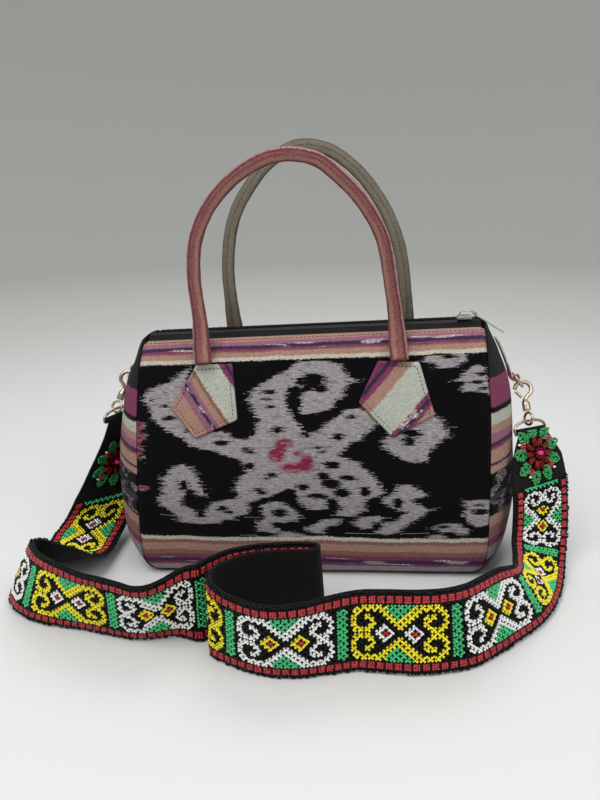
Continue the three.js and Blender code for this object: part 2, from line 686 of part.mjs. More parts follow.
// Hardware
const HOOK_TIP_DEG = 262;
const LEVER_START_DEG = 340;
const LEVER_TIP_DEG = 275;
const HOOK_LOOP_DEGREES = [22, 55, 90, 125, 160, 195, 230, HOOK_TIP_DEG];
const HOOK_TAPER = 14;
const CURL_DEGREES = [190, 235, 280, 325, 370];
const FOLD_DEGREES = [28, 60, 95, 130, 165, 200];
const TAB_TOP = BAG_HEIGHT * 0.933;
const TAB_POINTS = 6;

// Outlines of the wire loops, from the straight bar: share of half the width, share of the height
const D_RING_SHARES = [
  [-1, 0], [0, 0], [1, 0], [1.04, 0.42],
  [0.72, 0.86], [0, 1.06], [-0.72, 0.86], [-1.04, 0.42],
];
const STRAP_RING_SHARES = [
  [-1, 0], [-0.5, 0], [0, 0], [0.5, 0], [1, 0],
  [1.02, 0.55], [0.6, 0.97], [0, 1.05], [-0.6, 0.97], [-1.02, 0.55],
];
const D_RING_CROWN = 1.06;
const STRAP_RING_CROWN = 1.05;

function evenTube(path, steps, sides, radius, normal, closed = false) {
  return tube(path, steps, sides, () => radius, () => radius, normal, closed);
}

function loopTube(shares, origin, side, drop, width, height, steps) {
  const points = shares.map(([a, b]) => origin.clone()
    .addScaledVector(side, (a * width) / 2)
    .addScaledVector(drop, b * height));
  const normal = side.clone().cross(drop).normalize();
  return evenTube(curve(points, true), steps, WIRE_SIDES, WIRE, normal, true);
}

function ringTube(centre, normal, radius) {
  const corners = 12;
  const steps = 14;
  const side = V(0, 0, 1).addScaledVector(normal, -normal.z).normalize();
  const other = normal.clone().cross(side);
  const points = [];
  for (let k = 0; k < corners; k += 1) {
    const angle = (k / corners) * 2 * Math.PI;
    points.push(centre.clone()
      .addScaledVector(side, radius * Math.cos(angle))
      .addScaledVector(other, radius * Math.sin(angle)));
  }
  return evenTube(curve(points, true), steps, WIRE_SIDES, WIRE, normal, true);
}

// Direction made square to another one
function squared(direction, to) {
  return direction.clone().addScaledVector(to, -direction.dot(to)).normalize();
}

// One hanging set: tab on the end wall, D-ring, snap hook with its lever, eye and strap ring
function hardware(sign, tabShare, tabLength, hangDir, end, outDir) {
  const bits = {};
  const zBar = TAB_TOP - tabLength + sign * TOP_RISE;
  const zTop = zBar + tabLength;
  const reach = 3 * GAP + TAB_THICK / 2;
  const curl = WIRE + 3 * GAP + TAB_THICK / 2;
  const bar = gussetPoint(sign, zBar, tabShare, reach + curl);
  const tabPoints = [];
  for (let k = 0; k < TAB_POINTS; k += 1) {
    const z = zTop - (k * tabLength) / TAB_POINTS;
    const half = wallAtHeight(1, sign * HALF_LENGTH, z, 0).y;
    const inner = Math.max(Math.abs(bar.y) - TAB_WIDTH / 2, 0);
    const onWall = gussetPoint(sign, z, inner / half, reach);
    tabPoints.push(V(onWall.x, bar.y, onWall.z));
  }
  for (const deg of CURL_DEGREES) {
    const x = bar.x + sign * curl * Math.cos(rad(deg));
    tabPoints.push(V(x, bar.y, bar.z + curl * Math.sin(rad(deg))));
  }
  const tabNormal = (along) => V(along.z, 0, -along.x).normalize();
  bits.tab = strip(curve(tabPoints), 14, tabNormal, V(0, 1, 0), TAB_WIDTH, TAB_THICK);

  const drop = hangDir.clone().normalize();
  const side = squared(V(0, 1, 0), drop);
  bits.dRing = loopTube(D_RING_SHARES, bar, side, drop, D_RING_WIDTH, D_RING_DROP, 20);
  const hang = bar.clone().addScaledVector(drop, D_RING_DROP * D_RING_CROWN);

  const rise = squared(outDir, end.across);
  const ringSize = [STRAP_RING_WIDTH, STRAP_RING_HEIGHT];
  bits.strapRing = loopTube(STRAP_RING_SHARES, end.bar, end.across, rise, ...ringSize, 24);
  const crown = end.bar.clone().addScaledVector(rise, STRAP_RING_HEIGHT * STRAP_RING_CROWN);
  const up = hang.clone().sub(crown).normalize();
  const eyeCentre = crown.clone().addScaledVector(up, EYE_RADIUS - 2 * (WIRE + GAP));
  bits.eye = ringTube(eyeCentre, squared(end.across, up), EYE_RADIUS);
  const foot = eyeCentre.clone().addScaledVector(up, EYE_RADIUS + WIRE + GAP);

  // Hook: the barrel and the stem run up into an open loop round the D-ring
  const axis = up.clone().negate();
  const loopDrop = HOOK_LOOP_RADIUS - HOOK_WIRE - WIRE - 2 * GAP;
  const loopCentre = hang.clone().addScaledVector(axis, loopDrop);
  const planeNormal = squared(V(0, 1, 0), axis);
  const wide = planeNormal.clone().cross(axis).normalize().multiplyScalar(-sign);
  const onLoop = (deg, radius = HOOK_LOOP_RADIUS) => loopCentre.clone()
    .addScaledVector(axis, radius * Math.cos(rad(deg)))
    .addScaledVector(wide, radius * Math.sin(rad(deg)));
  const stemTop = loopCentre.clone().addScaledVector(axis, HOOK_LOOP_RADIUS + HOOK_SHOULDER);
  const barrelTop = foot.clone().addScaledVector(up, BARREL_LENGTH * 0.9);
  const hookPath = curve([foot, barrelTop, stemTop, ...HOOK_LOOP_DEGREES.map((deg) => onLoop(deg))]);
  const barrelShare = BARREL_LENGTH / hookPath.getLength();
  const fat = (t) => {
    const taper = Math.max(0, 1 - Math.max(0, t - barrelShare) * HOOK_TAPER);
    return HOOK_WIRE + (BARREL_RADIUS - HOOK_WIRE) * taper;
  };
  bits.hook = tube(hookPath, 26, HOOK_SIDES, fat, fat, planeNormal);

  // Lever that closes the loop, hinged by the stem
  const hinge = onLoop(LEVER_START_DEG, HOOK_LOOP_RADIUS + LEVER_LIFT);
  const tip = onLoop(LEVER_TIP_DEG);
  const reachDir = tip.clone().sub(hinge).normalize();
  const start = hinge.clone().addScaledVector(reachDir, LEVER_CLEAR);
  const stop = tip.clone().addScaledVector(reachDir, -LEVER_CLEAR);
  const leverPath = curve([start, start.clone().lerp(stop, 0.5), stop]);
  bits.gate = evenTube(leverPath, 4, HOOK_SIDES, HOOK_LEVER_RADIUS, planeNormal);
  return bits;
}

// End of the webbing folded back round the bar of its strap ring
function foldedEnd(station, away) {
  const radius = WIRE + 2 * GAP + WEBBING_THICK / 2;
  const centre = station.centre.clone().addScaledVector(station.face, -radius);
  const wraps = [];
  for (const deg of FOLD_DEGREES) {
    const face = station.face.clone().multiplyScalar(Math.cos(rad(deg)))
      .addScaledVector(away, Math.sin(rad(deg)));
    const point = centre.clone().addScaledVector(face, radius);
    wraps.push({ centre: point, across: station.across, half: station.half, face });
  }
  return { bar: centre, across: station.across.clone(), wraps };
}

// Materials
function paint(color, metalness = 0, roughness = 0.85) {
  return new THREE.MeshStandardMaterial({ color, metalness, roughness });
}
const ikat = paint(0x3a3032);
const stripes = paint(0x9a5a62);
const tapeCloth = paint(0x161316);
const metal = paint(0xbdb2a2, 1, 0.3);
const darkMetal = paint(0x4a4644, 1, 0.45);
const handleRose = paint(0x8f4a58);
const handleOlive = paint(0x77745f);
const webbing = paint(0x121110);
const beads = paint(0xb23a3c, 0, 0.4);

const bag = new THREE.Group();
bag.name = 'woven_handbag';
const add = (name, geometry, material) => {
  const mesh = new THREE.Mesh(geometry, material);
  mesh.name = name;
  bag.add(mesh);
  return mesh;
};

add('main_panel', mainPanel(), ikat);
add('end_gusset_left', endGusset(-1), stripes);
add('end_gusset_right', endGusset(1), stripes);
const tapeOuter = TAPE_INNER + TAPE_WIDTH;
const tapeEdge = tapeTop - TAPE_DROP;
const frontTape = topStrip(-tapeOuter, -TAPE_INNER, tapeEdge, chainLevel, TAPE_THICK);
const backTape = topStrip(TAPE_INNER, tapeOuter, chainLevel, tapeEdge, TAPE_THICK);
add('zip_tape_front', frontTape, tapeCloth);
add('zip_tape_back', backTape, tapeCloth);
const chainTop = chainLevel + (CHAIN_THICK - TAPE_THICK) / 2;
const chainHalf = CHAIN_WIDTH / 2;
add('zip_chain', topStrip(-chainHalf, chainHalf, chainTop, chainTop, CHAIN_THICK), darkMetal);

// Slider near the right end, its bridge, and the slotted pull that lies over its end
const SLIDER_X = HALF_LENGTH - SLIDER_SETBACK;
const sliderZ = chainTop + GAP + liftAt(SLIDER_X + SLIDER_LENGTH, BAG_HEIGHT);

// Side outline of the slider body and of its bridge: shares of the slider's length and height
const SLIDER_ROWS = [[0, 0], [0.917, 0], [0.917, 0.6], [0.833, 1], [0.125, 1], [0, 0.5]];
const BRIDGE_ROWS = [
  [0.167, 0.3], [0.267, 0.967], [0.583, 1.067], [1.017, 0.967], [1.2, 0.533], [1.233, -0.333],
];
const PULL_HINGE_SHARES = [1.0333, 1.333];

// Top outline of the pull and of its two holes: share of its length, share of its width to one side
const PULL_ROWS = [
  ['head', -0.026, 0.62],
  ['shoulder', 0.163, 0.62],
  ['neck', 0.222, 0.42],
  ['end', 0.926, 0.5],
  ['tip', 1, 0.25],
];
const PULL_EYE_ROWS = [['near', 0.026, 0.4], ['far', 0.148, 0.4]];
const PULL_SLOT_ROWS = [['near', 0.556, 0.18], ['far', 0.907, 0.22]];

function flatPoints(points) {
  return points.map(([x, y]) => new THREE.Vector2(x, y));
}

function bothSides(rows) {
  const one = rows.map(([, along, side]) => [along * PULL_LENGTH, -side * PULL_WIDTH]);
  const other = one.slice().reverse().map(([x, y]) => [x, -y]);
  return flatPoints([...one, ...other]);
}

function sliderBody() {
  const outline = SLIDER_ROWS.map(([x, z]) => [x * SLIDER_LENGTH, z * SLIDER_HEIGHT]);
  const shape = new THREE.Shape(flatPoints(outline));
  const geometry = new THREE.ExtrudeGeometry(shape, { depth: SLIDER_WIDTH, bevelEnabled: false });
  geometry.translate(0, 0, -SLIDER_WIDTH / 2);
  geometry.rotateX(Math.PI / 2);
  geometry.translate(SLIDER_X, 0, sliderZ);
  return geometry;
}

function sliderBridge() {
  const level = sliderZ + SLIDER_HEIGHT;
  const place = ([x, z]) => V(SLIDER_X + x * SLIDER_LENGTH, 0, level + z * SLIDER_HEIGHT);
  const normalAt = (along) => V(along.z, 0, -along.x);
  return strip(curve(BRIDGE_ROWS.map(place)), 16, normalAt, V(0, 1, 0), BRIDGE_WIDTH, BRIDGE_THICK);
}

function pull() {
  const [hingeX, hingeZ] = PULL_HINGE_SHARES;
  const shape = new THREE.Shape(bothSides(PULL_ROWS));
  shape.holes.push(new THREE.Path(bothSides(PULL_EYE_ROWS)));
  shape.holes.push(new THREE.Path(bothSides(PULL_SLOT_ROWS)));
  const geometry = new THREE.ExtrudeGeometry(shape, { depth: PULL_THICK, bevelEnabled: false });
  geometry.translate(0, 0, -PULL_THICK / 2);
  geometry.rotateY(rad(PULL_TILT_DEG));
  geometry.translate(SLIDER_X + hingeX * SLIDER_LENGTH, 0, sliderZ + hingeZ * SLIDER_HEIGHT);
  return geometry;
}

add('zip_slider', sliderBody(), metal);
add('slider_bridge', sliderBridge(), metal);
add('zip_pull', pull(), metal);

add('handle_front', handle(FRONT_HANDLE_ROWS), handleRose);
add('handle_back', handle(BACK_HANDLE_ROWS), handleOlive);
add('patch_front_left', patch(-1, PATCH_ROWS.front_left), stripes);
add('patch_front_right', patch(-1, PATCH_ROWS.front_right), stripes);
add('patch_back_left', patch(1, PATCH_ROWS.back_left), stripes);
add('patch_back_right', patch(1, PATCH_ROWS.back_right), stripes);

const stations = strapStations();
const first = stations[0];
const final = stations[stations.length - 1];
const leftEnd = foldedEnd(first, first.along.clone().negate());
const rightEnd = foldedEnd(final, final.along);
const webbingStations = [...leftEnd.wraps.slice().reverse(), ...stations, ...rightEnd.wraps];
const beadEdge = BEAD_WIDTH_SHARE;
const webbingSection = [[-1, 0], [1, 0], [1, 1], [beadEdge, 1], [-beadEdge, 1], [-1, 1]];
const beadSection = [[beadEdge, 0], [-beadEdge, 0], [-beadEdge, 1], [beadEdge, 1]];
const webbingHalf = WEBBING_THICK / 2;
add('strap_webbing', band(webbingStations, -webbingHalf, webbingHalf, webbingSection), webbing);
const stationOf = (name) => STRAP_ROWS.findIndex((row) => row[0] === name) * STRAP_STEPS;
const beadStations = stations.slice(stationOf('l_slope'), stationOf('hang_d') + 1);
const beadNear = webbingHalf + GAP;
add('bead_band', band(beadStations, beadNear, beadNear + BEAD_THICK, beadSection), beads);
add('flower_left', flower(stations[stationOf('l_flower')]), beads);
add('flower_right', flower(stations[stationOf('r_flower') + 1]), beads);

// Share across the end wall of each tab, the way its D-ring hangs and the way its strap ring stands
const right = hardware(1, -0.16, TAB_LENGTH, V(0.75, -0.1, -1), rightEnd, V(-0.1, 0.3, 1));
const left = hardware(-1, 0.5, LEFT_TAB_LENGTH, V(-0.75, 0, -1), leftEnd, V(0.15, 0, 1));
for (const [sideName, bits] of [['right', right], ['left', left]]) {
  add(`tab_${sideName}`, bits.tab, tapeCloth);
  add(`d_ring_${sideName}`, bits.dRing, metal);
  add(`hook_${sideName}`, bits.hook, metal);
  add(`hook_gate_${sideName}`, bits.gate, metal);
  add(`swivel_eye_${sideName}`, bits.eye, metal);
  add(`strap_ring_${sideName}`, bits.strapRing, metal);
}

export default bag;
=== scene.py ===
import math

import bpy
import numpy as np
from mathutils import Matrix


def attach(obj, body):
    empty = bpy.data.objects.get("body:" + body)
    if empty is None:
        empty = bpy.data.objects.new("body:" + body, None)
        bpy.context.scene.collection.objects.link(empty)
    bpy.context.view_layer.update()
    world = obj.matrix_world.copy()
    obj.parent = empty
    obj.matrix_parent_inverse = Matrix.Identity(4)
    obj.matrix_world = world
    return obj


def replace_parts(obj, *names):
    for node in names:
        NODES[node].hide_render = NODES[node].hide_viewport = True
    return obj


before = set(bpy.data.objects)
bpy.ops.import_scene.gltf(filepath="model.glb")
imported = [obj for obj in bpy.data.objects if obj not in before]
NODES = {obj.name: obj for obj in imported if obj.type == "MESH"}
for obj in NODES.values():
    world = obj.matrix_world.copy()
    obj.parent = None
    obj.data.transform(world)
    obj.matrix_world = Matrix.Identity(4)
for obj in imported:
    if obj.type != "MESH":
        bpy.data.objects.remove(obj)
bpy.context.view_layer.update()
MM = 0.001
rng = np.random.default_rng(7)

# ---- driving sizes, as in the solids, in millimetres
BAG_LENGTH = 256
BAG_HEIGHT = 178
BAG_DEPTH = 134
CLOTH = 2.6
GAP = 0.35
GUSSET_BULGE = 26.5
BULGE_POWER = 2.4
TOP_RISE = 4.5
HANDLE_RISE = 128
HANDLE_RADIUS = 5
HANDLE_FLARE = 1.3
STRAP_WIDTH = 57
WEBBING_THICK = 1.6
BEAD_THICK = 2
WIRE = 1.2
HALF_LENGTH = BAG_LENGTH / 2
HALF_DEPTH = BAG_DEPTH / 2

HUNG = BAG_HEIGHT
STOOD = STRAP_WIDTH
# name, half depth and height, as shares of HALF_DEPTH and BAG_HEIGHT
SECTION_ROWS = [
  ['zip_edge', 0.25, 0.993],
  ['welt', 0.35, 0.996],
  ['shoulder', 0.46, 0.973],
  ['shoulder_low', 0.545, 0.93],
  ['upper', 0.62, 0.87],
  ['chest', 0.71, 0.765],
  ['middle', 0.805, 0.64],
  ['belly_top', 0.895, 0.495],
  ['belly', 0.97, 0.35],
  ['belly_low', 1.0, 0.225],
  ['hip', 0.985, 0.12],
  ['corner_top', 0.925, 0.055],
  ['corner_low', 0.83, 0.014],
  ['base_edge', 0.72, 0],
  ['base_inner', 0.4, 0],
  ['base_middle', 0, 0],
]

# share of the height and of the end wall's bulge
BULGE_ROWS = [
    (0, 0), (0.03, 0.42), (0.09, 0.74), (0.16, 0.9), (0.31, 1), (0.48, 0.95), (0.63, 0.86), (0.79, 0.66),
    (0.88, 0.42), (0.955, 0.16), (1, 0.04),
]

# side, middle across and up, reach across and up, and depth, as shares of the bag's sizes
DENT_ROWS = [
    (-1, -0.36, 0.805, 0.1, 0.144, -0.012),
    (-1, 0.03, 0.834, 0.14, 0.129, -0.009),
    (-1, -0.24, 0.36, 0.2, 0.23, 0.011),
    (-1, 0.27, 0.345, 0.19, 0.259, 0.012),
    (-1, 0.02, 0.288, 0.07, 0.288, -0.008),
    (-1, 0.4, 0.791, 0.08, 0.173, -0.008),
    (1, -0.22, 0.431, 0.18, 0.259, 0.012),
    (1, 0.25, 0.403, 0.2, 0.259, 0.01),
    (1, 0, 0.647, 0.09, 0.23, -0.009),
]

# x, y, height on the bag and rise above it, as shares of the bag's sizes
FRONT_HANDLE_ROWS = [
    (-0.301, -0.34, 0.909, 0),
    (-0.306, -0.302, 0.966, 0),
    (-0.31, -0.266, 1, 0.093),
    (-0.322, -0.243, 1, 0.349),
    (-0.313, -0.235, 1, 0.537),
    (-0.271, -0.235, 1, 0.719),
    (-0.196, -0.237, 1, 0.873),
    (-0.117, -0.239, 1, 0.961),
    (-0.047, -0.241, 1, 0.985),
    (0.023, -0.241, 1, 0.955),
    (0.086, -0.239, 1, 0.861),
    (0.151, -0.237, 1, 0.719),
    (0.199, -0.237, 1, 0.541),
    (0.219, -0.243, 1, 0.349),
    (0.236, -0.266, 1, 0.109),
    (0.243, -0.302, 0.978, 0),
    (0.246, -0.34, 0.92, 0),
]

BACK_HANDLE_ROWS = [
    (-0.255, 0.34, 0.909, 0),
    (-0.258, 0.302, 0.966, 0),
    (-0.262, 0.267, 1, 0.093),
    (-0.265, 0.246, 1, 0.361),
    (-0.24, 0.243, 1, 0.631),
    (-0.186, 0.243, 1, 0.821),
    (-0.123, 0.243, 1, 0.957),
    (-0.04, 0.243, 1, 1.037),
    (0.036, 0.243, 1, 1.021),
    (0.108, 0.243, 1, 0.935),
    (0.174, 0.243, 1, 0.795),
    (0.229, 0.243, 1, 0.613),
    (0.264, 0.245, 1, 0.407),
    (0.282, 0.267, 1, 0.129),
    (0.286, 0.302, 0.985, 0),
    (0.287, 0.34, 0.92, 0),
]

# corners, as shares of the bag's length and height
PATCH_ROWS = {
    "front_left": [(-0.327, 0.895), (-0.222, 0.899), (-0.207, 0.683), (-0.328, 0.608), (-0.398, 0.726)],
    "front_right": [(0.188, 0.909), (0.303, 0.903), (0.345, 0.703), (0.229, 0.614), (0.133, 0.751)],
    "back_left": [(-0.312, 0.895), (-0.198, 0.895), (-0.156, 0.705), (-0.262, 0.604), (-0.355, 0.719)],
    "back_right": [(0.23, 0.903), (0.344, 0.903), (0.388, 0.712), (0.282, 0.61), (0.187, 0.726)],
}

# both edges of the strap (x, y, z shares), its share of the full width, and what the z shares measure
STRAP_ROWS = [
    (-0.648, 0.015, 0.567, -0.613, 0.164, 0.567, 0.42, HUNG),
    (-0.668, 0, 0.489, -0.613, 0.224, 0.489, 0.62, HUNG),
    (-0.715, -0.022, 0.354, -0.617, 0.254, 0.36, 0.84, HUNG),
    (-0.762, -0.045, 0.219, -0.613, 0.209, 0.225, 1, HUNG),
    (-0.812, -0.09, 0.107, -0.613, 0.09, 0.118, 1, HUNG),
    (-0.84, -0.164, 0.045, -0.625, -0.134, 0.062, 1, HUNG),
    (-0.828, -0.254, 0.053, -0.629, -0.373, 0.193, 1, STOOD),
    (-0.805, -0.358, 0.018, -0.637, -0.552, 0.333, 1, STOOD),
    (-0.797, -0.463, 0.018, -0.652, -0.672, 0.596, 1, STOOD),
    (-0.812, -0.56, 0.018, -0.691, -0.739, 0.789, 1, STOOD),
    (-0.84, -0.642, 0.018, -0.734, -0.754, 0.877, 1, STOOD),
    (-0.848, -0.731, 0.018, -0.746, -0.791, 0.895, 1, STOOD),
    (-0.818, -0.828, 0.018, -0.727, -0.873, 0.912, 1, STOOD),
    (-0.773, -0.903, 0.018, -0.695, -0.955, 0.912, 1, STOOD),
    (-0.715, -0.955, 0.018, -0.652, -1.026, 0.93, 1, STOOD),
    (-0.648, -0.985, 0.018, -0.602, -1.09, 0.93, 1, STOOD),
    (-0.59, -1.004, 0.018, -0.551, -1.142, 0.93, 1, STOOD),
    (-0.527, -1.037, 0.018, -0.5, -1.179, 0.912, 1, STOOD),
    (-0.469, -1.067, 0.018, -0.445, -1.22, 0.912, 1, STOOD),
    (-0.43, -1.078, 0.018, -0.41, -1.246, 0.912, 1, STOOD),
    (-0.391, -1.067, 0.018, -0.379, -1.239, 0.912, 1, STOOD),
    (-0.355, -1.049, 0.018, -0.344, -1.194, 0.93, 1, STOOD),
    (-0.32, -1.052, 0.018, -0.311, -1.134, 0.965, 1, STOOD),
    (-0.295, -1.071, 0.018, -0.289, -1.104, 0.982, 1, STOOD),
    (-0.271, -1.082, 0.018, -0.27, -1.09, 1, 1, STOOD),
    (-0.248, -1.03, 0.018, -0.248, -1.03, 1, 1, STOOD),
    (-0.199, -0.937, 0.018, -0.199, -0.937, 0.982, 1, STOOD),
    (-0.137, -0.881, 0.018, -0.137, -0.888, 0.982, 1, STOOD),
    (-0.059, -0.854, 0.018, -0.059, -0.862, 0.982, 1, STOOD),
    (0, -0.847, 0.018, -0.004, -0.858, 0.982, 1, STOOD),
    (0.033, -0.858, 0.018, 0.023, -0.869, 0.982, 1, STOOD),
    (0.043, -0.892, 0.018, 0.031, -0.899, 0.982, 1, STOOD),
    (0.033, -0.925, 0.018, 0.021, -0.929, 1, 1, STOOD),
    (0.004, -0.94, 0.018, -0.004, -0.94, 1, 1, STOOD),
    (-0.059, -0.944, 0.018, -0.062, -0.944, 1, 1, STOOD),
    (-0.133, -0.974, 0.018, -0.133, -0.974, 1, 1, STOOD),
    (-0.18, -1.026, 0.018, -0.18, -1.026, 1, 1, STOOD),
    (-0.213, -1.097, 0.018, -0.213, -1.101, 1.018, 1, STOOD),
    (-0.23, -1.157, 0.018, -0.227, -1.168, 1.018, 1, STOOD),
    (-0.227, -1.201, 0.018, -0.217, -1.246, 1, 1, STOOD),
    (-0.199, -1.239, 0.018, -0.188, -1.313, 1, 1, STOOD),
    (-0.152, -1.288, 0.018, -0.141, -1.377, 0.982, 1, STOOD),
    (-0.098, -1.328, 0.018, -0.094, -1.418, 0.982, 1, STOOD),
    (-0.047, -1.343, 0.018, -0.047, -1.425, 0.982, 1, STOOD),
    (0.004, -1.336, 0.018, 0.004, -1.403, 1, 1, STOOD),
    (0.062, -1.31, 0.018, 0.059, -1.351, 1, 1, STOOD),
    (0.129, -1.284, 0.018, 0.129, -1.306, 1.018, 1, STOOD),
    (0.195, -1.295, 0.018, 0.195, -1.299, 1.018, 1, STOOD),
    (0.266, -1.306, 0.018, 0.262, -1.299, 1.018, 1, STOOD),
    (0.34, -1.284, 0.018, 0.328, -1.28, 1.018, 1, STOOD),
    (0.406, -1.239, 0.018, 0.375, -1.231, 1, 1, STOOD),
    (0.457, -1.164, 0.018, 0.414, -1.164, 0.982, 1, STOOD),
    (0.535, -1.03, 0.018, 0.465, -1.06, 0.965, 1, STOOD),
    (0.605, -0.896, 0.018, 0.504, -0.985, 0.895, 1, STOOD),
    (0.66, -0.746, 0.018, 0.523, -0.881, 0.789, 1, STOOD),
    (0.699, -0.59, 0.035, 0.535, -0.754, 0.667, 1, STOOD),
    (0.73, -0.44, 0.105, 0.543, -0.642, 0.632, 1, STOOD),
    (0.75, -0.321, 0.096, 0.547, -0.552, 0.213, 1, HUNG),
    (0.76, -0.246, 0.185, 0.553, -0.5, 0.247, 1, HUNG),
    (0.758, -0.201, 0.292, 0.559, -0.463, 0.315, 1, HUNG),
    (0.744, -0.187, 0.393, 0.566, -0.418, 0.388, 0.97, HUNG),
    (0.725, -0.172, 0.483, 0.57, -0.358, 0.472, 0.86, HUNG),
    (0.705, -0.157, 0.545, 0.576, -0.299, 0.545, 0.6, HUNG),
    (0.691, -0.142, 0.584, 0.586, -0.254, 0.587, 0.43, HUNG),
]


# ---- curves and surfaces of the bag, in millimetres
def catmull(points, u, closed=False):
    """Centripetal spline through points, at shares u of its spans."""
    p = np.asarray(points, float)
    n = len(p)
    spans = n if closed else n - 1
    at = np.clip(np.atleast_1d(np.asarray(u, float)), 0, 1) * spans
    k = np.minimum(at.astype(int), spans - 1)
    w = (at - k)[:, None]
    if closed:
        p0, p1, p2, p3 = (p[(k + j) % n] for j in (-1, 0, 1, 2))
    else:
        q = np.vstack([2 * p[0] - p[1], p, 2 * p[-1] - p[-2]])
        p0, p1, p2, p3 = (q[k + j] for j in (0, 1, 2, 3))

    def root(a, b):
        return np.maximum(((a - b) ** 2).sum(1), 1e-9)[:, None] ** 0.25

    a, b, c = root(p0, p1), root(p1, p2), root(p2, p3)
    m1 = ((p1 - p0) / a - (p2 - p0) / (a + b) + (p2 - p1) / b) * b
    m2 = ((p2 - p1) / b - (p3 - p1) / (b + c) + (p3 - p2) / c) * b
    cubic, square = 2 * p1 - 2 * p2 + m1 + m2, 3 * p2 - 3 * p1 - 2 * m1 - m2
    return cubic * w**3 + square * w**2 + m1 * w + p1


def unit(v):
    v = np.asarray(v, float)
    return v / np.maximum(np.linalg.norm(v, axis=-1, keepdims=True), 1e-9)


def lengths(points):
    """Distance run along a row of points."""
    return np.concatenate([[0], np.cumsum(np.linalg.norm(np.diff(points, axis=0), axis=1))])


def even(points, count, closed=False):
    """count points evenly spaced along a spline, with tangents."""
    dense = catmull(points, np.linspace(0, 1, 1200), closed)
    run = lengths(dense)
    want = np.linspace(0, run[-1], count, endpoint=not closed)
    line = np.stack([np.interp(want, run, dense[:, k]) for k in range(3)], 1)
    fore = np.stack([np.interp(want + 0.3, run, dense[:, k]) for k in range(3)], 1)
    back = np.stack([np.interp(want - 0.3, run, dense[:, k]) for k in range(3)], 1)
    return line, unit(fore - back)


def smooth(x, low, high):
    t = np.clip((x - low) / (high - low), 0, 1)
    return t * t * (3 - 2 * t)


BASE_T = [row[0] for row in SECTION_ROWS].index("base_edge") / (len(SECTION_ROWS) - 1)
SECTION = [(0, -row[1] * HALF_DEPTH, row[2] * BAG_HEIGHT) for row in SECTION_ROWS]


def section(t):
    """Front half of the section: y, z and the outward direction at shares t of its rows."""
    t = np.atleast_1d(t)
    p = catmull(SECTION, t)
    ahead = catmull(SECTION, np.minimum(t + 1e-3, 1))
    behind = catmull(SECTION, np.maximum(t - 1e-3, 0))
    along = unit(ahead - behind)
    flat = t >= BASE_T
    y, z = p[:, 1], np.where(flat, 0, np.maximum(p[:, 2], 0))
    ny, nz = np.where(flat, 0, along[:, 2]), np.where(flat, -1, -along[:, 1])
    size = np.maximum(np.hypot(ny, nz), 1e-9)
    return y, z, ny / size, nz / size


def lift(x, z):
    return TOP_RISE * (x / HALF_LENGTH) * smooth(z, 0.25 * BAG_HEIGHT, BAG_HEIGHT)


def dent(side, x, z):
    depth = 0
    for face, cx, cz, hx, hz, amount in DENT_ROWS:
        if face == side:
            u = (x / BAG_LENGTH - cx) / hx
            v = (z / BAG_HEIGHT - cz) / hz
            depth = depth + amount * BAG_LENGTH * np.exp(-u * u - v * v)
    ends = np.maximum(1 - (x / HALF_LENGTH) ** 4, 0)
    ground = smooth(z, 0.01 * BAG_HEIGHT, 0.12 * BAG_HEIGHT)
    return depth * ends * ground * (1 - smooth(z, 0.88 * BAG_HEIGHT, 0.97 * BAG_HEIGHT))


def wall(side, t, x, out=0.0):
    """Point of the long wall: side -1 front, 1 back; out moves it outwards."""
    t, x, out = np.broadcast_arrays(np.atleast_1d(t), np.atleast_1d(x), out)
    shape = t.shape
    y, z, ny, nz = (v.reshape(shape) for v in section(t.ravel()))
    push = dent(side, x, z) + out
    return np.stack([x, -side * (y + ny * push), z + nz * push + lift(x, z)], -1)


# the section in fine steps; DOWN is its stretch from the shoulder to the base, where height falls
FINE_STEPS = 2000
FINE_T = np.linspace(0, 1, FINE_STEPS + 1)
FINE_Y, FINE_Z, _, _ = section(FINE_T)
FINE_RUN = lengths(np.stack([FINE_Y, FINE_Z], 1))
BASE_STEP = int(FINE_STEPS * BASE_T)
DOWN = slice(int(FINE_STEPS * 2 / 15), BASE_STEP)


def t_at_run(run):
    """Section parameter at a distance down the cloth from the zip edge."""
    return np.interp(run, FINE_RUN, FINE_T)


def t_at_height(z):
    return np.interp(-np.asarray(z, float), -FINE_Z[DOWN], FINE_T[DOWN])


def t_at_place(x, z):
    """Section parameter where the wall, lifted towards one end, reaches height z at x."""
    return t_at_height(z - lift(x, z))


def bulge(share):
    rows = np.array(BULGE_ROWS)
    dense = catmull(np.c_[rows * (BAG_HEIGHT, GUSSET_BULGE), 0 * rows[:, 0]], np.linspace(0, 1, 800))
    return np.interp(np.clip(share, 0, 1) * BAG_HEIGHT, dense[:, 0], dense[:, 1])


def end_wall(sign, t, q, out=0.0):
    """Point of an end wall at section parameter t and share q across, -1 at the front seam."""
    edge = wall(-1, t, sign * HALF_LENGTH)
    z_raw = section(np.ravel(t))[1].reshape(np.shape(t))
    swell = bulge(z_raw / BAG_HEIGHT)
    share, near = z_raw / BAG_HEIGHT, 0.01
    rise = (bulge(share + near) - bulge(share - near)) / (2 * near * BAG_HEIGHT)
    round_ = 1 - np.abs(q) ** BULGE_POWER
    flank = swell * BULGE_POWER * np.abs(q) ** (BULGE_POWER - 1) * np.sign(q) / np.maximum(-edge[..., 1], 1)
    normal = unit(np.stack([np.full(np.shape(z_raw), float(sign)), flank, -rise * round_], -1))
    p = np.stack([sign * (HALF_LENGTH + swell * round_), edge[..., 1] * -q, edge[..., 2]], -1)
    return p + normal * np.asarray(out)[..., None]


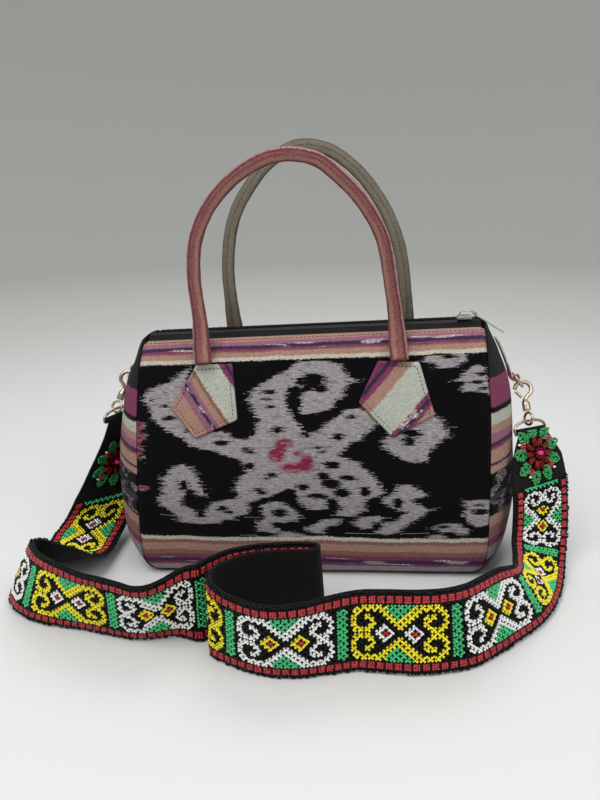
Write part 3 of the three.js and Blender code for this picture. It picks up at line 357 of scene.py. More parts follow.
def strap_line(per_row):
    """Stations of the strap from the left ring to the right ring."""
    scale = np.array([[BAG_LENGTH, BAG_DEPTH, row[7]] for row in STRAP_ROWS])
    low = np.array([row[:3] for row in STRAP_ROWS]) * scale
    high = np.array([row[3:6] for row in STRAP_ROWS]) * scale
    share = [row[6] for row in STRAP_ROWS]
    spans = len(STRAP_ROWS) - 1
    u = np.linspace(0, 1, spans * per_row + 1)
    a, b = catmull(low, u), catmull(high, u)
    centre, across = (a + b) / 2, unit(b - a)
    half = np.interp(u * spans, range(spans + 1), share) * STRAP_WIDTH / 2
    reach = max(1, per_row // 3)
    index = np.arange(len(u))
    fore, back = np.minimum(index + reach, len(u) - 1), np.maximum(index - reach, 0)
    along = unit(centre[fore] - centre[back])
    face = unit(np.cross(along, across))
    lowest = centre[:, 2] - half * np.abs(across[:, 2])
    drop = (WEBBING_THICK / 2 + BEAD_THICK) * np.hypot(across[:, 0], across[:, 1])
    centre[:, 2] += np.maximum(0, drop + GAP - lowest)
    line = {"centre": centre, "across": across, "along": along, "face": face}
    return {**line, "half": half, "row": u * spans}


# ---- material helpers
def rgb(r, g, b):
    """Linear colour of an sRGB one given from 0 to 255."""
    def linear(c):
        c /= 255
        return c / 12.92 if c <= 0.04045 else ((c + 0.055) / 1.055) ** 2.4
    return (linear(r), linear(g), linear(b), 1.0)


class Paint:
    """A material's node tree, with short ways to add nodes to it."""

    def __init__(self, name, roughness=0.8, metallic=0.0, **sockets):
        self.material = bpy.data.materials.new(name)
        self.material.use_nodes = True
        self.tree = self.material.node_tree
        self.shader = self.tree.nodes["Principled BSDF"]
        self.put(self.shader, {"Roughness": roughness, "Metallic": metallic})
        self.put(self.shader, {k.replace("_", " "): v for k, v in sockets.items()})

    def put(self, node, inputs):
        for key, value in inputs.items():
            socket = node.inputs[key]
            if isinstance(value, bpy.types.NodeSocket):
                self.tree.links.new(value, socket)
            else:
                socket.default_value = value
        return node

    def add(self, kind, inputs=None, **props):
        node = self.tree.nodes.new("ShaderNode" + kind)
        for key, value in props.items():
            setattr(node, key, value)
        return self.put(node, inputs or {})

    def math(self, operation, a, b=0.0, c=0.0, clamp=False):
        return self.add("Math", {0: a, 1: b, 2: c}, operation=operation, use_clamp=clamp).outputs[0]

    def times(self, a, b):
        return self.math("MULTIPLY", a, b)

    def plus(self, a, b):
        return self.math("ADD", a, b)

    def value(self, name):
        return self.add("Attribute", attribute_name=name).outputs["Fac"]

    def place(self):
        return self.add("TexCoord").outputs["Object"]

    def vector(self, x, y, z=0.0):
        return self.add("CombineXYZ", {0: x, 1: y, 2: z}).outputs[0]

    def noise(self, vector, scale, detail=2.0, roughness=0.5):
        inputs = {"Vector": vector, "Scale": scale, "Detail": detail, "Roughness": roughness}
        return self.add("TexNoise", inputs).outputs["Fac"]

    def stretch(self, across, down, fast, slow, seed=0.0):
        """Cloth coordinates scaled apart, so that noise on them runs along one thread direction."""
        return self.vector(self.times(across, fast), self.times(down, slow), seed)

    def step(self, x, low, high):
        """0 below low, 1 above high, smooth between them."""
        node = self.add("MapRange", {0: x, 1: low, 2: high}, interpolation_type="SMOOTHSTEP")
        return node.outputs[0]

    def spread(self, x, low, high):
        """x from 0..1 to low..high."""
        return self.add("MapRange", {0: x, 3: low, 4: high}).outputs[0]

    def mix(self, factor, a, b, blend="MIX"):
        node = self.add("Mix", data_type="RGBA", blend_type=blend)
        self.put(node, {0: factor, 6: a, 7: b})
        return node.outputs[2]

    def ramp(self, x, stops, interpolation="CONSTANT"):
        node = self.add("ValToRGB", {0: x})
        ramp = node.color_ramp
        ramp.interpolation = interpolation
        while len(ramp.elements) < len(stops):
            ramp.elements.new(1.0)
        for element, (at, colour) in zip(ramp.elements, stops):
            element.position, element.color = at, colour
        return node.outputs[0]

    def bump(self, height, distance, strength=1.0):
        inputs = {"Height": height, "Distance": distance, "Strength": strength}
        self.put(self.shader, {"Normal": self.add("Bump", inputs).outputs[0]})

    def colour(self, value, tone=None):
        """The base colour, multiplied by a grey tone if one is given."""
        if tone is not None:
            grey = self.add("CombineColor", {0: tone, 1: tone, 2: tone}).outputs[0]
            value = self.mix(1.0, value, grey, "MULTIPLY")
        self.put(self.shader, {"Base Color": value})


def cloth_paint(name):
    return Paint(name, 0.92, Sheen_Weight=0.04, Sheen_Roughness=0.5, Specular_IOR_Level=0.12)


BLACK = rgb(4, 3, 6)
CHARCOAL = rgb(30, 27, 33)
GREY = rgb(150, 143, 145)
SALMON = rgb(169, 132, 117)
BROWN = rgb(135, 100, 87)
PINK = rgb(149, 98, 119)
MAGENTA = rgb(129, 60, 92)
VIOLET = rgb(56, 46, 71)
CREAM = rgb(200, 192, 178)
PALE = rgb(184, 187, 174)
WHITE = rgb(222, 214, 212)
INK_SHADOW = rgb(78, 70, 90)
UNDYED = rgb(208, 204, 206)
MADDER = rgb(134, 40, 66)


def wave(paint, coordinate, pitch):
    """Sine from 0 to 1 with that pitch along a coordinate in millimetres."""
    turn = paint.times(coordinate, 2 * math.pi / pitch)
    return paint.math("MULTIPLY_ADD", paint.math("SINE", turn), 0.5, 0.5)


def woven(paint, across, down, colour, thread=0.62, rib=1.15, depth=0.00022):
    """Heathered yarn colour and a ribbed weave along the cloth's own coordinates."""
    weft = paint.noise(paint.stretch(across, down, 0.14, 1.6), 1.0, 3.0, 0.6)
    warp = paint.noise(paint.stretch(across, down, 1.9, 0.35, 7.0), 1.0, 2.0)
    dash = paint.noise(paint.stretch(across, down, 0.42, 2.3, 13.0), 1.0, 2.0, 0.65)
    tone = paint.plus(paint.spread(weft, 0.62, 1.38), paint.spread(warp, -0.25, 0.25))
    tone = paint.times(tone, paint.spread(paint.step(dash, 0.36, 0.5), 0.62, 1.04))
    paint.colour(colour, tone)
    rows = wave(paint, down, rib)
    ends = wave(paint, across, thread)
    weave = paint.math("MULTIPLY_ADD", ends, 0.4, paint.times(rows, 0.8))
    paint.bump(paint.math("MULTIPLY_ADD", weft, 1.6, weave), depth)


# how far a stripe's edge wanders and how far its threads reach past it, in millimetres
DRIFT = 1.6
FEATHER = 2.2


def stripes(paint, across, down, table, total):
    """Colour of the stripe at a distance down the cloth, its edges drifting and feathered by thread."""
    drift = paint.noise(paint.stretch(across, down, 0.035, 0.05, 5.0), 1.0)
    feather = paint.noise(paint.stretch(across, down, 0.5, 1.9, 8.0), 1.0, 2.0, 0.7)
    at = paint.plus(down, paint.spread(drift, -DRIFT, DRIFT))
    at = paint.plus(at, paint.spread(feather, -FEATHER, FEATHER))
    share = paint.math("DIVIDE", at, total, clamp=True)
    return paint.ramp(share, [(start / total, colour) for start, colour in table])


PANEL_STRIPES = [
    (0, BLACK), (1.5, SALMON), (10.5, PINK), (14.6, VIOLET), (17.2, MAGENTA), (18.9, BROWN),
    (20.6, SALMON), (23.8, CREAM), (26.6, BLACK), (158, CREAM), (160.8, BROWN), (164, SALMON),
    (169, BROWN), (173.5, MAGENTA), (177, VIOLET), (181, MAGENTA), (184, GREY), (193, VIOLET),
    (197, MAGENTA), (200, GREY), (216, SALMON), (232, VIOLET), (240, GREY),
]
EDGE_STRIPES = [
    (0, CHARCOAL), (46, MAGENTA), (66, BLACK), (70.5, PALE), (78.5, SALMON), (84, PINK), (90, VIOLET),
    (92.5, MAGENTA), (95, SALMON), (103.5, VIOLET), (105.5, SALMON), (111, BLACK), (126, VIOLET),
    (131, BLACK), (142, SALMON), (150, BROWN), (160, MAGENTA), (166, GREY), (176, VIOLET),
]
LEFT_PATCH_STRIPES = [
    (0, SALMON), (11.5, PINK), (15.8, VIOLET), (18.2, PINK), (21.2, SALMON), (25.5, BROWN), (28, PALE),
    (45.5, MAGENTA), (49, VIOLET), (51, MAGENTA),
]
RIGHT_PATCH_STRIPES = [
    (0, MAGENTA), (3.6, VIOLET), (6.2, MAGENTA), (10, SALMON), (17.8, PALE), (38.7, MAGENTA),
    (41.4, VIOLET), (44.2, MAGENTA), (46.4, SALMON),
]
ROSE_STRIPES = [
    (0, rgb(138, 84, 94)), (3, rgb(108, 58, 68)), (4.4, rgb(150, 102, 96)), (7.5, rgb(126, 80, 78)),
    (9, rgb(166, 126, 110)), (11.5, rgb(116, 66, 74)), (13, rgb(142, 92, 96)), (17, rgb(172, 140, 122)),
    (19, rgb(112, 60, 72)), (21.5, rgb(138, 88, 86)), (25, rgb(160, 118, 104)), (28, rgb(124, 66, 80)),
]


def ikat_material():
    paint = cloth_paint("ikat_cloth")
    across, down = paint.value("across"), paint.value("down")
    # every weft thread slides a little along its row, which feathers the sides of the motif
    slow = paint.noise(paint.stretch(across, down, 0.07, 0.9, 3.0), 1.0, 2.0, 0.7)
    quick = paint.noise(paint.stretch(across, down, 0.3, 2.4, 9.0), 1.0, 1.0)
    slide = paint.plus(paint.spread(slow, -10.0, 10.0), paint.spread(quick, -8.0, 8.0))
    slide = paint.times(slide, paint.value("ikat_side"))
    edge = paint.plus(paint.value("ikat"), slide)
    mask = paint.step(edge, 0.5, -0.5)
    # dyed patches inside the grey: soft blue-black shadows along the threads
    dye = paint.noise(paint.stretch(across, down, 0.1, 0.3, 21.0), 1.0, 3.0, 0.7)
    grey = paint.mix(paint.times(paint.step(dye, 0.54, 0.68), 0.65), GREY, INK_SHADOW)
    # pale hairs of undyed thread
    pale = paint.noise(paint.stretch(across, down, 0.22, 2.2, 33.0), 1.0, 2.0, 0.6)
    grey = paint.mix(paint.times(paint.step(pale, 0.5, 0.62), 0.5), grey, UNDYED)
    # madder spots over them, worn where the dye is weak
    spot = paint.plus(paint.value("madder"), paint.times(slide, 0.45))
    worn = paint.math("SUBTRACT", 1.0, paint.times(paint.step(dye, 0.5, 0.6), 0.6))
    grey = paint.mix(paint.times(paint.step(spot, 1.3, -1.3), worn), grey, MADDER)
    ground = stripes(paint, across, down, PANEL_STRIPES, FINE_RUN[-1])
    # white flecks along the violet stripes
    fleck = paint.noise(paint.stretch(across, down, 0.032, 0.25, 1.0), 1.0, 1.0)
    hair = paint.noise(paint.stretch(across, down, 0.5, 2.6, 4.0), 1.0, 2.0)
    fleck = paint.times(paint.step(fleck, 0.58, 0.66), paint.step(hair, 0.42, 0.58))
    bands = [(0, 0.0), (12.2, 1.0), (18, 0.0), (176.6, 1.0), (181.8, 0.0)]
    share = paint.math("DIVIDE", down, FINE_RUN[-1], clamp=True)
    violet = paint.ramp(share, [(at / FINE_RUN[-1], (v, v, v, 1)) for at, v in bands])
    ground = paint.mix(paint.times(fleck, violet), ground, WHITE)
    woven(paint, across, down, paint.mix(mask, ground, grey))
    return paint.material


def striped_material(name, table, total, flecks=None, fleck_colour=WHITE):
    """Striped cloth; flecks is where along the cloth white or grey hairs show, from and to."""
    paint = cloth_paint(name)
    across, down = paint.value("across"), paint.value("down")
    colour = stripes(paint, across, down, table, total)
    if flecks:
        place = paint.noise(paint.stretch(across, down, 0.11, 0.16, 2.0), 1.0, 1.0)
        hair = paint.noise(paint.stretch(across, down, 0.3, 1.9, 4.0), 1.0, 2.0, 0.6)
        low, high = flecks
        inside = paint.times(paint.step(down, low, low + 1), paint.step(down, high, high - 1))
        inside = paint.times(inside, paint.step(place, 0.5, 0.58))
        colour = paint.mix(paint.times(paint.step(hair, 0.46, 0.56), inside), colour, fleck_colour)
    woven(paint, across, down, colour)
    return paint.material


OLIVE_STRIPES = [
    (0, rgb(112, 108, 94)), (5, rgb(132, 128, 112)), (8, rgb(96, 90, 80)), (9.6, rgb(124, 118, 102)),
    (14, rgb(142, 138, 122)), (17, rgb(90, 80, 76)), (18.6, rgb(120, 114, 98)), (24, rgb(134, 128, 112)),
    (28, rgb(100, 94, 82)),
]


def plain(name, colour, roughness, metallic=0.0, tint=0.0, grain=0.0, depth=0.00005, **sockets):
    """One colour, varied by the piece's own tint values and by a fine grain."""
    paint = Paint(name, roughness, metallic, **sockets)
    shade = paint.spread(paint.noise(paint.place(), 900.0, 3.0), 1 - grain, 1 + grain)
    if tint:
        shade = paint.times(shade, paint.spread(paint.value("tint"), 1 - tint, 1 + tint))
    paint.colour(colour, shade)
    paint.bump(paint.noise(paint.place(), 1400.0, 2.0), depth)
    return paint.material


def metal_material(name, colour, roughness):
    paint = Paint(name, roughness, 1.0)
    smear = paint.noise(paint.place(), 260.0, 4.0, 0.6)
    dull = (*(0.72 * c for c in colour[:3]), 1.0)
    paint.colour(paint.mix(paint.step(smear, 0.45, 0.75), colour, dull))
    worn = paint.spread(paint.noise(paint.place(), 700.0, 3.0), roughness * 0.7, roughness * 1.4)
    paint.put(paint.shader, {"Roughness": worn})
    paint.bump(paint.noise(paint.place(), 2200.0, 2.0), 0.00003)
    return paint.material


def tape_material(name, colour, pitch, sheen=0.05, cross=1.3):
    """Ribbed black tape or webbing: fine ribs across its length, and a fainter twill; the rib crests carry a
    painted highlight and the grooves painted shade.
    """
    paint = Paint(name, 0.78, Sheen_Weight=sheen, Sheen_Roughness=0.4, Specular_IOR_Level=0.22)
    across, down = paint.value("across"), paint.value("down")
    ribs = wave(paint, down, pitch)
    cords = wave(paint, across, cross)
    fluff = paint.noise(paint.vector(across, paint.times(down, 2.0)), 1.2, 3.0)
    height = paint.math("MULTIPLY_ADD", cords, 0.45, paint.plus(ribs, fluff))
    # painted highlight and shade: the colour is lighter on each rib's crest and darker in its groove
    tone = paint.math("MULTIPLY_ADD", ribs, 0.6, paint.spread(fluff, 0.3, 1.2))
    paint.colour(colour, tone)
    paint.bump(height, 0.0003)
    return paint.material


# ---- mesh helpers
def stand(name, data):
    made = bpy.data.objects.new(name, data)
    bpy.context.scene.collection.objects.link(made)
    return made


def piece(name, points, faces, materials, slot, body="bag", index=None, smooth=True, **values):
    """A mesh object from points in millimetres; faces is one array, or a list, of triangles or quads."""
    faces = faces if isinstance(faces, list) else [faces]
    faces = [np.asarray(f, np.int64) for f in faces if len(f)]
    points = np.asarray(points, float).reshape(-1, 3)
    mesh = bpy.data.meshes.new(name)
    mesh.vertices.add(len(points))
    mesh.vertices.foreach_set("co", (points * MM).astype(np.float32).ravel())
    corners = np.concatenate([f.ravel() for f in faces])
    totals = np.concatenate([np.full(len(f), f.shape[1]) for f in faces])
    mesh.loops.add(len(corners))
    mesh.loops.foreach_set("vertex_index", corners.astype(np.int32))
    mesh.polygons.add(len(totals))
    starts = np.concatenate([[0], np.cumsum(totals)[:-1]])
    mesh.polygons.foreach_set("loop_start", starts.astype(np.int32))
    mesh.polygons.foreach_set("loop_total", totals.astype(np.int32))
    mesh.polygons.foreach_set("use_smooth", np.full(len(totals), smooth))
    materials = materials if isinstance(materials, list) else [materials]
    for material in materials:
        mesh.materials.append(material)
    if index is not None:
        mesh.polygons.foreach_set("material_index", np.asarray(index, np.int32))
    mesh.update(calc_edges=True)
    for key, value in values.items():
        value = np.broadcast_to(np.asarray(value, np.float32).ravel(), len(points))
        mesh.attributes.new(key, "FLOAT", "POINT").data.foreach_set("value", value.copy())
    made = stand(name, mesh)
    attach(made, body)
    return made


def grid(rows, cols, ring=False, loop=False, base=0):
    """Quads between rows x cols points; ring closes the columns and loop the rows."""
    down, along = np.arange(rows if loop else rows - 1), np.arange(cols if ring else cols - 1)
    i, j = (v.ravel() for v in np.meshgrid(down, along, indexing="ij"))
    k, m = (i + 1) % rows, (j + 1) % cols
    return base + np.stack([i * cols + j, i * cols + m, k * cols + m, k * cols + j], 1)


def fan(rim, tip, flip=False):
    """Triangles from a closed rim of points to its tip."""
    faces = np.stack([rim, np.roll(rim, -1), np.full(len(rim), tip)], 1)
    return faces[:, [1, 0, 2]] if flip else faces


def slab(outer, inner):
    """Closed sheet from two matching grids of points, with its faces looking out of the outer one."""
    rows, cols = outer.shape[:2]
    size = rows * cols
    faces = [grid(rows, cols), grid(rows, cols, base=size)[:, ::-1]]
    i, j = np.arange(rows - 1), np.arange(cols - 1)
    for a, b in ((j, j + 1), ((rows - 1) * cols + j + 1, (rows - 1) * cols + j)):
        faces.append(np.stack([b, a, a + size, b + size], 1))
    for a, b in (((i + 1) * cols, i * cols), (i * cols + cols - 1, (i + 1) * cols + cols - 1)):
        faces.append(np.stack([b, a, a + size, b + size], 1))
    return np.concatenate([outer.reshape(-1, 3), inner.reshape(-1, 3)]), np.concatenate(faces)


def twice(values):
    return np.concatenate([np.ravel(values)] * 2)


def frames(line, along, hint):
    """Across and depth directions for sections along a line."""
    hint = np.broadcast_to(np.asarray(hint, float), along.shape)
    across = unit(hint - (hint * along).sum(1, keepdims=True) * along)
    return across, unit(np.cross(along, across))


def tube(line, along, hint, wide, deep, sides, closed=False):
    """Points and faces of a tube; wide runs along the hinted direction. Open tubes get fan ends."""
    count = len(line)
    across, depth = frames(line, along, hint)
    turn = np.linspace(0, 2 * math.pi, sides, endpoint=False)
    wide, deep = (np.broadcast_to(np.asarray(v, float), count)[:, None, None] for v in (wide, deep))
    rings = line[:, None] + across[:, None] * np.cos(turn)[None, :, None] * wide
    rings = rings + depth[:, None] * np.sin(turn)[None, :, None] * deep
    faces = [grid(count, sides, ring=True, loop=closed)]
    points = rings.reshape(-1, 3)
    if not closed:
        points = np.vstack([points, line[:1], line[-1:]])
        rim, last = np.arange(sides), count * sides
        faces += [fan(rim, last, True), fan(rim + last - sides, last + 1)]
    return points, faces


BEAD_END = 0.92


def bead_shape(sides=6):
    """Unit glass bead along X: two rings and two blunt ends, which reach BEAD_END half lengths out."""
    turn = np.linspace(0, 2 * math.pi, sides, endpoint=False)
    ring = np.c_[0 * turn, np.cos(turn), np.sin(turn)]
    points = np.vstack([ring + (-0.5, 0, 0), ring + (0.5, 0, 0), [(-BEAD_END, 0, 0), (BEAD_END, 0, 0)]])
    j = np.arange(sides)
    k = (j + 1) % sides
    quads = np.stack([j, k, k + sides, j + sides], 1)[:, ::-1]
    low, high = fan(j, 2 * sides), fan(j + sides, 2 * sides + 1, True)
    return points, np.vstack([quads[:, [0, 1, 2]], quads[:, [0, 2, 3]], low, high])


def beads(name, centres, axes, normals, length, radius, materials, slot, kinds=None, body="bag", sides=6):
    """Many beads in one mesh: each lies along its axis, and normals point away from the cloth."""
    shape, faces = bead_shape(sides)
    count = len(centres)
    axes = unit(axes)
    normals = unit(normals - (normals * axes).sum(1, keepdims=True) * axes)
    third = np.cross(axes, normals)
    length = np.broadcast_to(length, count)[:, None, None]
    radius = np.broadcast_to(radius, count)[:, None, None]
    points = centres[:, None] + axes[:, None] * shape[None, :, :1] * length / 2
    points = points + (third[:, None] * shape[None, :, 1:2] + normals[:, None] * shape[None, :, 2:]) * radius
    all_faces = (faces[None] + (np.arange(count) * len(shape))[:, None, None]).reshape(-1, 3)
    index = None if kinds is None else np.repeat(kinds, len(faces))
    tint = np.repeat(rng.random(count), len(shape))
    return piece(name, points, all_faces, materials, slot, body, index, tint=tint)


# ---- ikat motif in cloth coordinates: across from the middle and down from the zip edge, in millimetres
# outlines of the grey figures, drawn
IKAT_SHAPES = {
    "left_leaf": [
        (-89.8, 30.6), (-98.6, 37.1), (-104.4, 40.7), (-111.7, 42.7), (-116.8, 46.3), (-121.2, 49.2),
        (-122, 53.7), (-118.3, 58.4), (-117.5, 63), (-115.3, 68.3), (-110.2, 73), (-105, 77.7),
        (-99.1, 80.8), (-92.5, 84.7), (-87.3, 89.2), (-80.6, 91.5), (-71.8, 92.4), (-64.4, 95.4),
        (-56.4, 98.4), (-47, 100.7), (-35.4, 103), (-35.3, 85.5), (-46.2, 84.6), (-56.4, 84.4),
        (-60, 79.9), (-65.9, 78.4), (-76.9, 80.4), (-83.6, 75.8), (-88.2, 66), (-95.7, 54.5),
        (-91.3, 43.4),
    ],
    "left_curl": [
        (-76.6, 126.6), (-78.7, 120.7), (-81.6, 115.5), (-83.7, 111), (-88.1, 105.7), (-94.1, 103.5),
        (-100.8, 105), (-105.3, 109.6), (-109.1, 112.7), (-108.5, 118.8), (-110.9, 122.6),
        (-107.9, 125.6), (-112.6, 128.7), (-111.2, 133.3), (-106.1, 137.1), (-100.3, 140.9),
        (-95.9, 143.9), (-99.8, 146.3), (-90.9, 147.6), (-78.2, 148.1), (-66.9, 147.1), (-65.3, 143.9),
        (-57.9, 143.8), (-52, 140.7), (-46.8, 139.2), (-44.5, 135.4), (-46.6, 131.6), (-35.6, 128),
        (-35.4, 105.9), (-42.6, 107.3), (-49.2, 111.7), (-52.9, 114.6), (-54.4, 119.8), (-55.9, 122),
        (-53, 124.9), (-54.5, 128.6), (-61.9, 129.4), (-70.8, 131), (-75.3, 134.1), (-77.7, 138),
        (-82.9, 138.1), (-88.8, 136.7), (-93.2, 134.5), (-95.3, 130), (-93.7, 126.1), (-89.9, 123.8),
        (-86.2, 124.5), (-81.8, 126.7),
    ],
    "heart": [
        (-44, 83.9), (-39.6, 79.5), (-35.3, 83.3), (-22.2, 83.5), (-7.8, 80.9), (3.7, 80.4), (13.8, 86.3),
        (23.8, 90.6), (18.8, 97.8), (28.1, 100.6), (33.8, 102), (37.3, 105.6), (42.3, 109.8),
        (46.6, 114.1), (50.1, 119.7), (52.3, 123.2), (48, 126.8), (40.2, 128.4), (38, 132.1),
        (39.5, 135.7), (34.4, 139.6), (26.5, 142.1), (18.6, 141), (21.5, 135.6), (18.6, 132),
        (19.3, 128.2), (10.6, 129.3), (10.6, 136), (4.7, 138.5), (-3.9, 136.1), (-8.2, 132.1),
        (-9.6, 125.4), (-21.1, 121.5), (-28.3, 126.5), (-35.6, 128), (-44.3, 128.7), (-48.6, 122),
        (-47, 107.3), (-49.9, 101.4), (-51.3, 92.6),
    ],
    "high_curl": [
        (-42.5, 85.3), (-38.9, 79.6), (-39.6, 75.2), (-35.2, 72.3), (-38.9, 68.6), (-41, 64.2),
        (-42.5, 59.7), (-45.4, 56), (-42.5, 53.1), (-43.9, 50.9), (-38.1, 46.7), (-33.1, 43.2),
        (-28.7, 40.4), (-22.9, 37.7), (-17.9, 34.9), (-12.8, 32.1), (-7.8, 28.6), (12.4, 29.4),
        (18.9, 31.8), (23.9, 35.6), (26.8, 40.8), (29.6, 43.1), (36.1, 44.1), (28.2, 45.9), (25.3, 49.4),
        (22.5, 52.2), (22.4, 55.8), (16.7, 57.7), (16.7, 62), (13.8, 64.1), (6.6, 65.4), (3, 66.7),
        (-6.3, 67.2), (-7.8, 62.1), (-5.6, 57.8), (-7.1, 53.5), (-3.5, 50.7), (-7.8, 48.4), (-10.7, 46.1),
        (-15, 48.9), (-17.9, 52.4), (-19.3, 56.7), (-17.2, 61.1), (-14.3, 67), (-11.4, 72.1),
        (-7.1, 77.3), (-3.5, 81.7), (3.7, 86.1), (-22.3, 90),
    ],
    "right_arm": [
        (-2, 83.2), (2.3, 81.1), (8, 78.3), (10.9, 74.8), (17.4, 71.3), (24.6, 65.1), (31, 64.5),
        (37.4, 64), (41, 67.6), (45.2, 71.9), (48.8, 74.7), (44.5, 78.2), (40.9, 80.9), (36.7, 82.3),
        (36.7, 86.5), (28.8, 87.8), (24.5, 92.1), (19.5, 97.8), (-0.7, 100.6),
    ],
    "ring_low": [
        (-36.5, 136.2), (-32.8, 131.7), (-27, 130.3), (-20.5, 131.1), (-16.2, 134.9), (-11.2, 138.1),
        (-8.4, 142), (-11.3, 145), (-20.1, 147.1), (-26.6, 145.4), (-30.3, 147.7), (-26, 150.9),
        (-21.7, 154.2), (-29, 154.9), (-37.8, 153.2), (-39.8, 149.2), (-38.9, 145.3), (-33, 143.1),
        (-35.9, 140),
    ],
    "foot_mid": [
        (-4.9, 152.3), (1, 149.3), (7.6, 146.1), (14.9, 144.3), (23.6, 143.8), (18.5, 148.7),
        (10.5, 150.8), (7.5, 155.7), (0.1, 155.7),
    ],
    "foot_right": [
        (28.7, 145.9), (35.2, 142.6), (48.1, 140.7), (51.6, 142.9), (43.8, 146.1), (44.5, 149.9),
        (37.3, 150.9), (32.3, 148.8),
    ],
    "bottom_strip": [
        (-30.7, 159.8), (-23.9, 155.8), (-17.3, 153.5), (-8.6, 156.2), (0.1, 158.1), (13.3, 158.7),
        (13.3, 161.1), (-30.8, 161.4),
    ],
    "flourish": [
        (59.4, 123.9), (62.2, 118.9), (67.2, 118.2), (72.8, 119), (77.8, 121.1), (81.4, 123.9),
        (82.8, 125.3), (77.8, 127.4), (70.7, 128.8), (75.7, 131), (80, 133.2), (84.3, 135.4),
        (85.8, 136.1), (80.8, 139), (77.3, 142), (71.7, 144.9), (66.7, 149.5), (61.8, 153.5),
        (53.2, 155.2), (46.7, 153), (51.7, 148.2), (50.2, 146.7), (59.5, 144.3), (65.2, 141.2),
        (69.4, 137.5), (63.7, 136.8), (58.7, 134.6), (53.7, 132.5), (50.9, 129), (53.7, 126.8),
    ],
    "right_ring": [
        (86.3, 68.6), (91.9, 73.5), (94.7, 77.7), (98.2, 85.3), (92.6, 88), (89.8, 91.4), (84.8, 94.7),
        (82.7, 98.1), (82, 101.6), (74.2, 102.9), (67.1, 101.4), (62.2, 98.6), (56.5, 95.1), (53.7, 90.9),
        (52.3, 86.7), (57.3, 83.9), (55.1, 81.1), (61.5, 78.4), (67.9, 75.8), (73.5, 73.1), (80.6, 70.5),
    ],
    "top_corner": [
        (79.4, 31.5), (85.1, 28.1), (96.3, 27.8), (107.5, 28.2), (113.1, 29.9), (110.2, 34),
        (105.4, 36.6), (96.3, 37.7), (87.8, 38.1), (92, 35.4),
    ],
    "side_top": [
        (102.5, 47), (108.1, 44.4), (110.2, 41), (114.4, 37.7), (119.2, 36.5), (124, 38.1), (126.8, 47.1),
        (128.8, 57.3), (119.8, 55), (110.2, 54.1), (108.1, 50.6), (110.2, 47.9),
    ],
    "side_low": [
        (109.2, 129.9), (117.7, 129.3), (129, 129.3), (129, 139.5), (128.1, 147.7), (118.9, 149.2),
        (112.4, 145.4), (110.1, 139.4), (112.1, 134.3),
    ],
    "low_right": [
        (86.8, 149.6), (93.8, 146.6), (101, 146), (107.5, 148.4), (114.1, 152.3), (111.3, 155.4),
        (104.1, 155.3), (95.5, 153.6), (92.6, 152),
    ],
    "low_strip": [
        (79.8, 159), (85.5, 155.9), (92.7, 155.2), (100, 158.5), (108.5, 157.8), (108.6, 160.2),
        (79.9, 159.9),
    ],
}
# centre, half width and half height of the dark spots inside them and of the madder ones
IKAT_SPOTS = [
    (-106.6, 58.7, 3.6, 1.4), (-102.9, 67.9, 4.8, 1.8), (-87.3, 77.3, 4, 2.3), (-65.2, 87.2, 5.6, 1.9),
    (-46.9, 91.9, 4.8, 1.4), (-43.3, 94.1, 3.9, 1.2), (-117.6, 53.8, 2.4, 1.1), (-29.4, 50.6, 5.1, 1.6),
    (-30.9, 55.7, 3.9, 0.8), (-29.4, 61.5, 3.9, 1.4), (-23.7, 78.4, 4.8, 2.8), (-14.3, 51.1, 3.9, 3.5),
    (-7.8, 43.3, 3.9, 2.6), (1.5, 43, 9, 5), (-2.5, 48.5, 4, 2.5), (7, 49.5, 5.8, 2.8),
    (-3.5, 82.4, 3.1, 2), (19.5, 84.2, 4.6, 2.5), (29.6, 70.1, 3.8, 1.6), (5.1, 91.9, 4.6, 1.2),
    (8, 94.9, 3.1, 0.8), (-92.8, 118.6, 4.1, 3.6), (-88.4, 123.8, 4.9, 2.2), (-65, 135.5, 4, 2),
    (-59.9, 138.5, 3.9, 1.1), (-80.8, 140.4, 4.1, 2.8), (-38.4, 122, 4.6, 1.2), (-35.5, 124.3, 3, 1.4),
    (-28.2, 111.1, 4.8, 1.6), (-33.3, 114, 3.1, 0.8), (-44.1, 104.4, 4, 2.6), (-16.8, 125.2, 6.3, 4.4),
    (-5.9, 120.3, 4.6, 2.3), (2.7, 127.1, 6.3, 1.8), (-22.8, 139.3, 6.3, 3.6), (15.9, 104.3, 6.2, 3),
    (27.3, 113.5, 7, 2), (8.5, 112.5, 5.2, 3), (14.5, 118, 7, 3.8), (22.2, 124.5, 6.3, 3.5),
    (38.7, 123.4, 4.3, 3.5), (7.8, 127.8, 4.6, 1.4), (62.2, 131, 4.2, 4), (72.1, 82.1, 6.9, 2.5),
    (70.7, 87.6, 4.5, 3.4), (99.1, 29.7, 6.8, 1.3), (116.5, 30.8, 3.8, 1.7), (122.6, 42.8, 3.8, 1.4),
    (118.5, 48.2, 5.9, 1.4), (124, 52.4, 3.8, 1.2), (120.7, 138, 6.2, 2.2), (119.2, 132.9, 5.3, 0.8),
    (99.8, 154.5, 5.4, 1.7), (95.3, 149, 4.6, 1.1),
]
MADDER_SPOTS = [
    (-19, 88.2, 7, 3.4), (-24.8, 96.6, 6, 5.2), (-22, 92.2, 5, 3.4), (-9.4, 95.8, 3.4, 2.2),
    (-10, 106, 12, 4), (-3, 101, 4.6, 4.4),
]
MADDER_EDGES = [
    (-127.2, 73.4, 5.2, 3.8), (-126.5, 81.9, 5.2, 3.1), (-128.2, 91.9, 3.8, 6.9), (-124.3, 121.2, 3.7, 1.8),
]
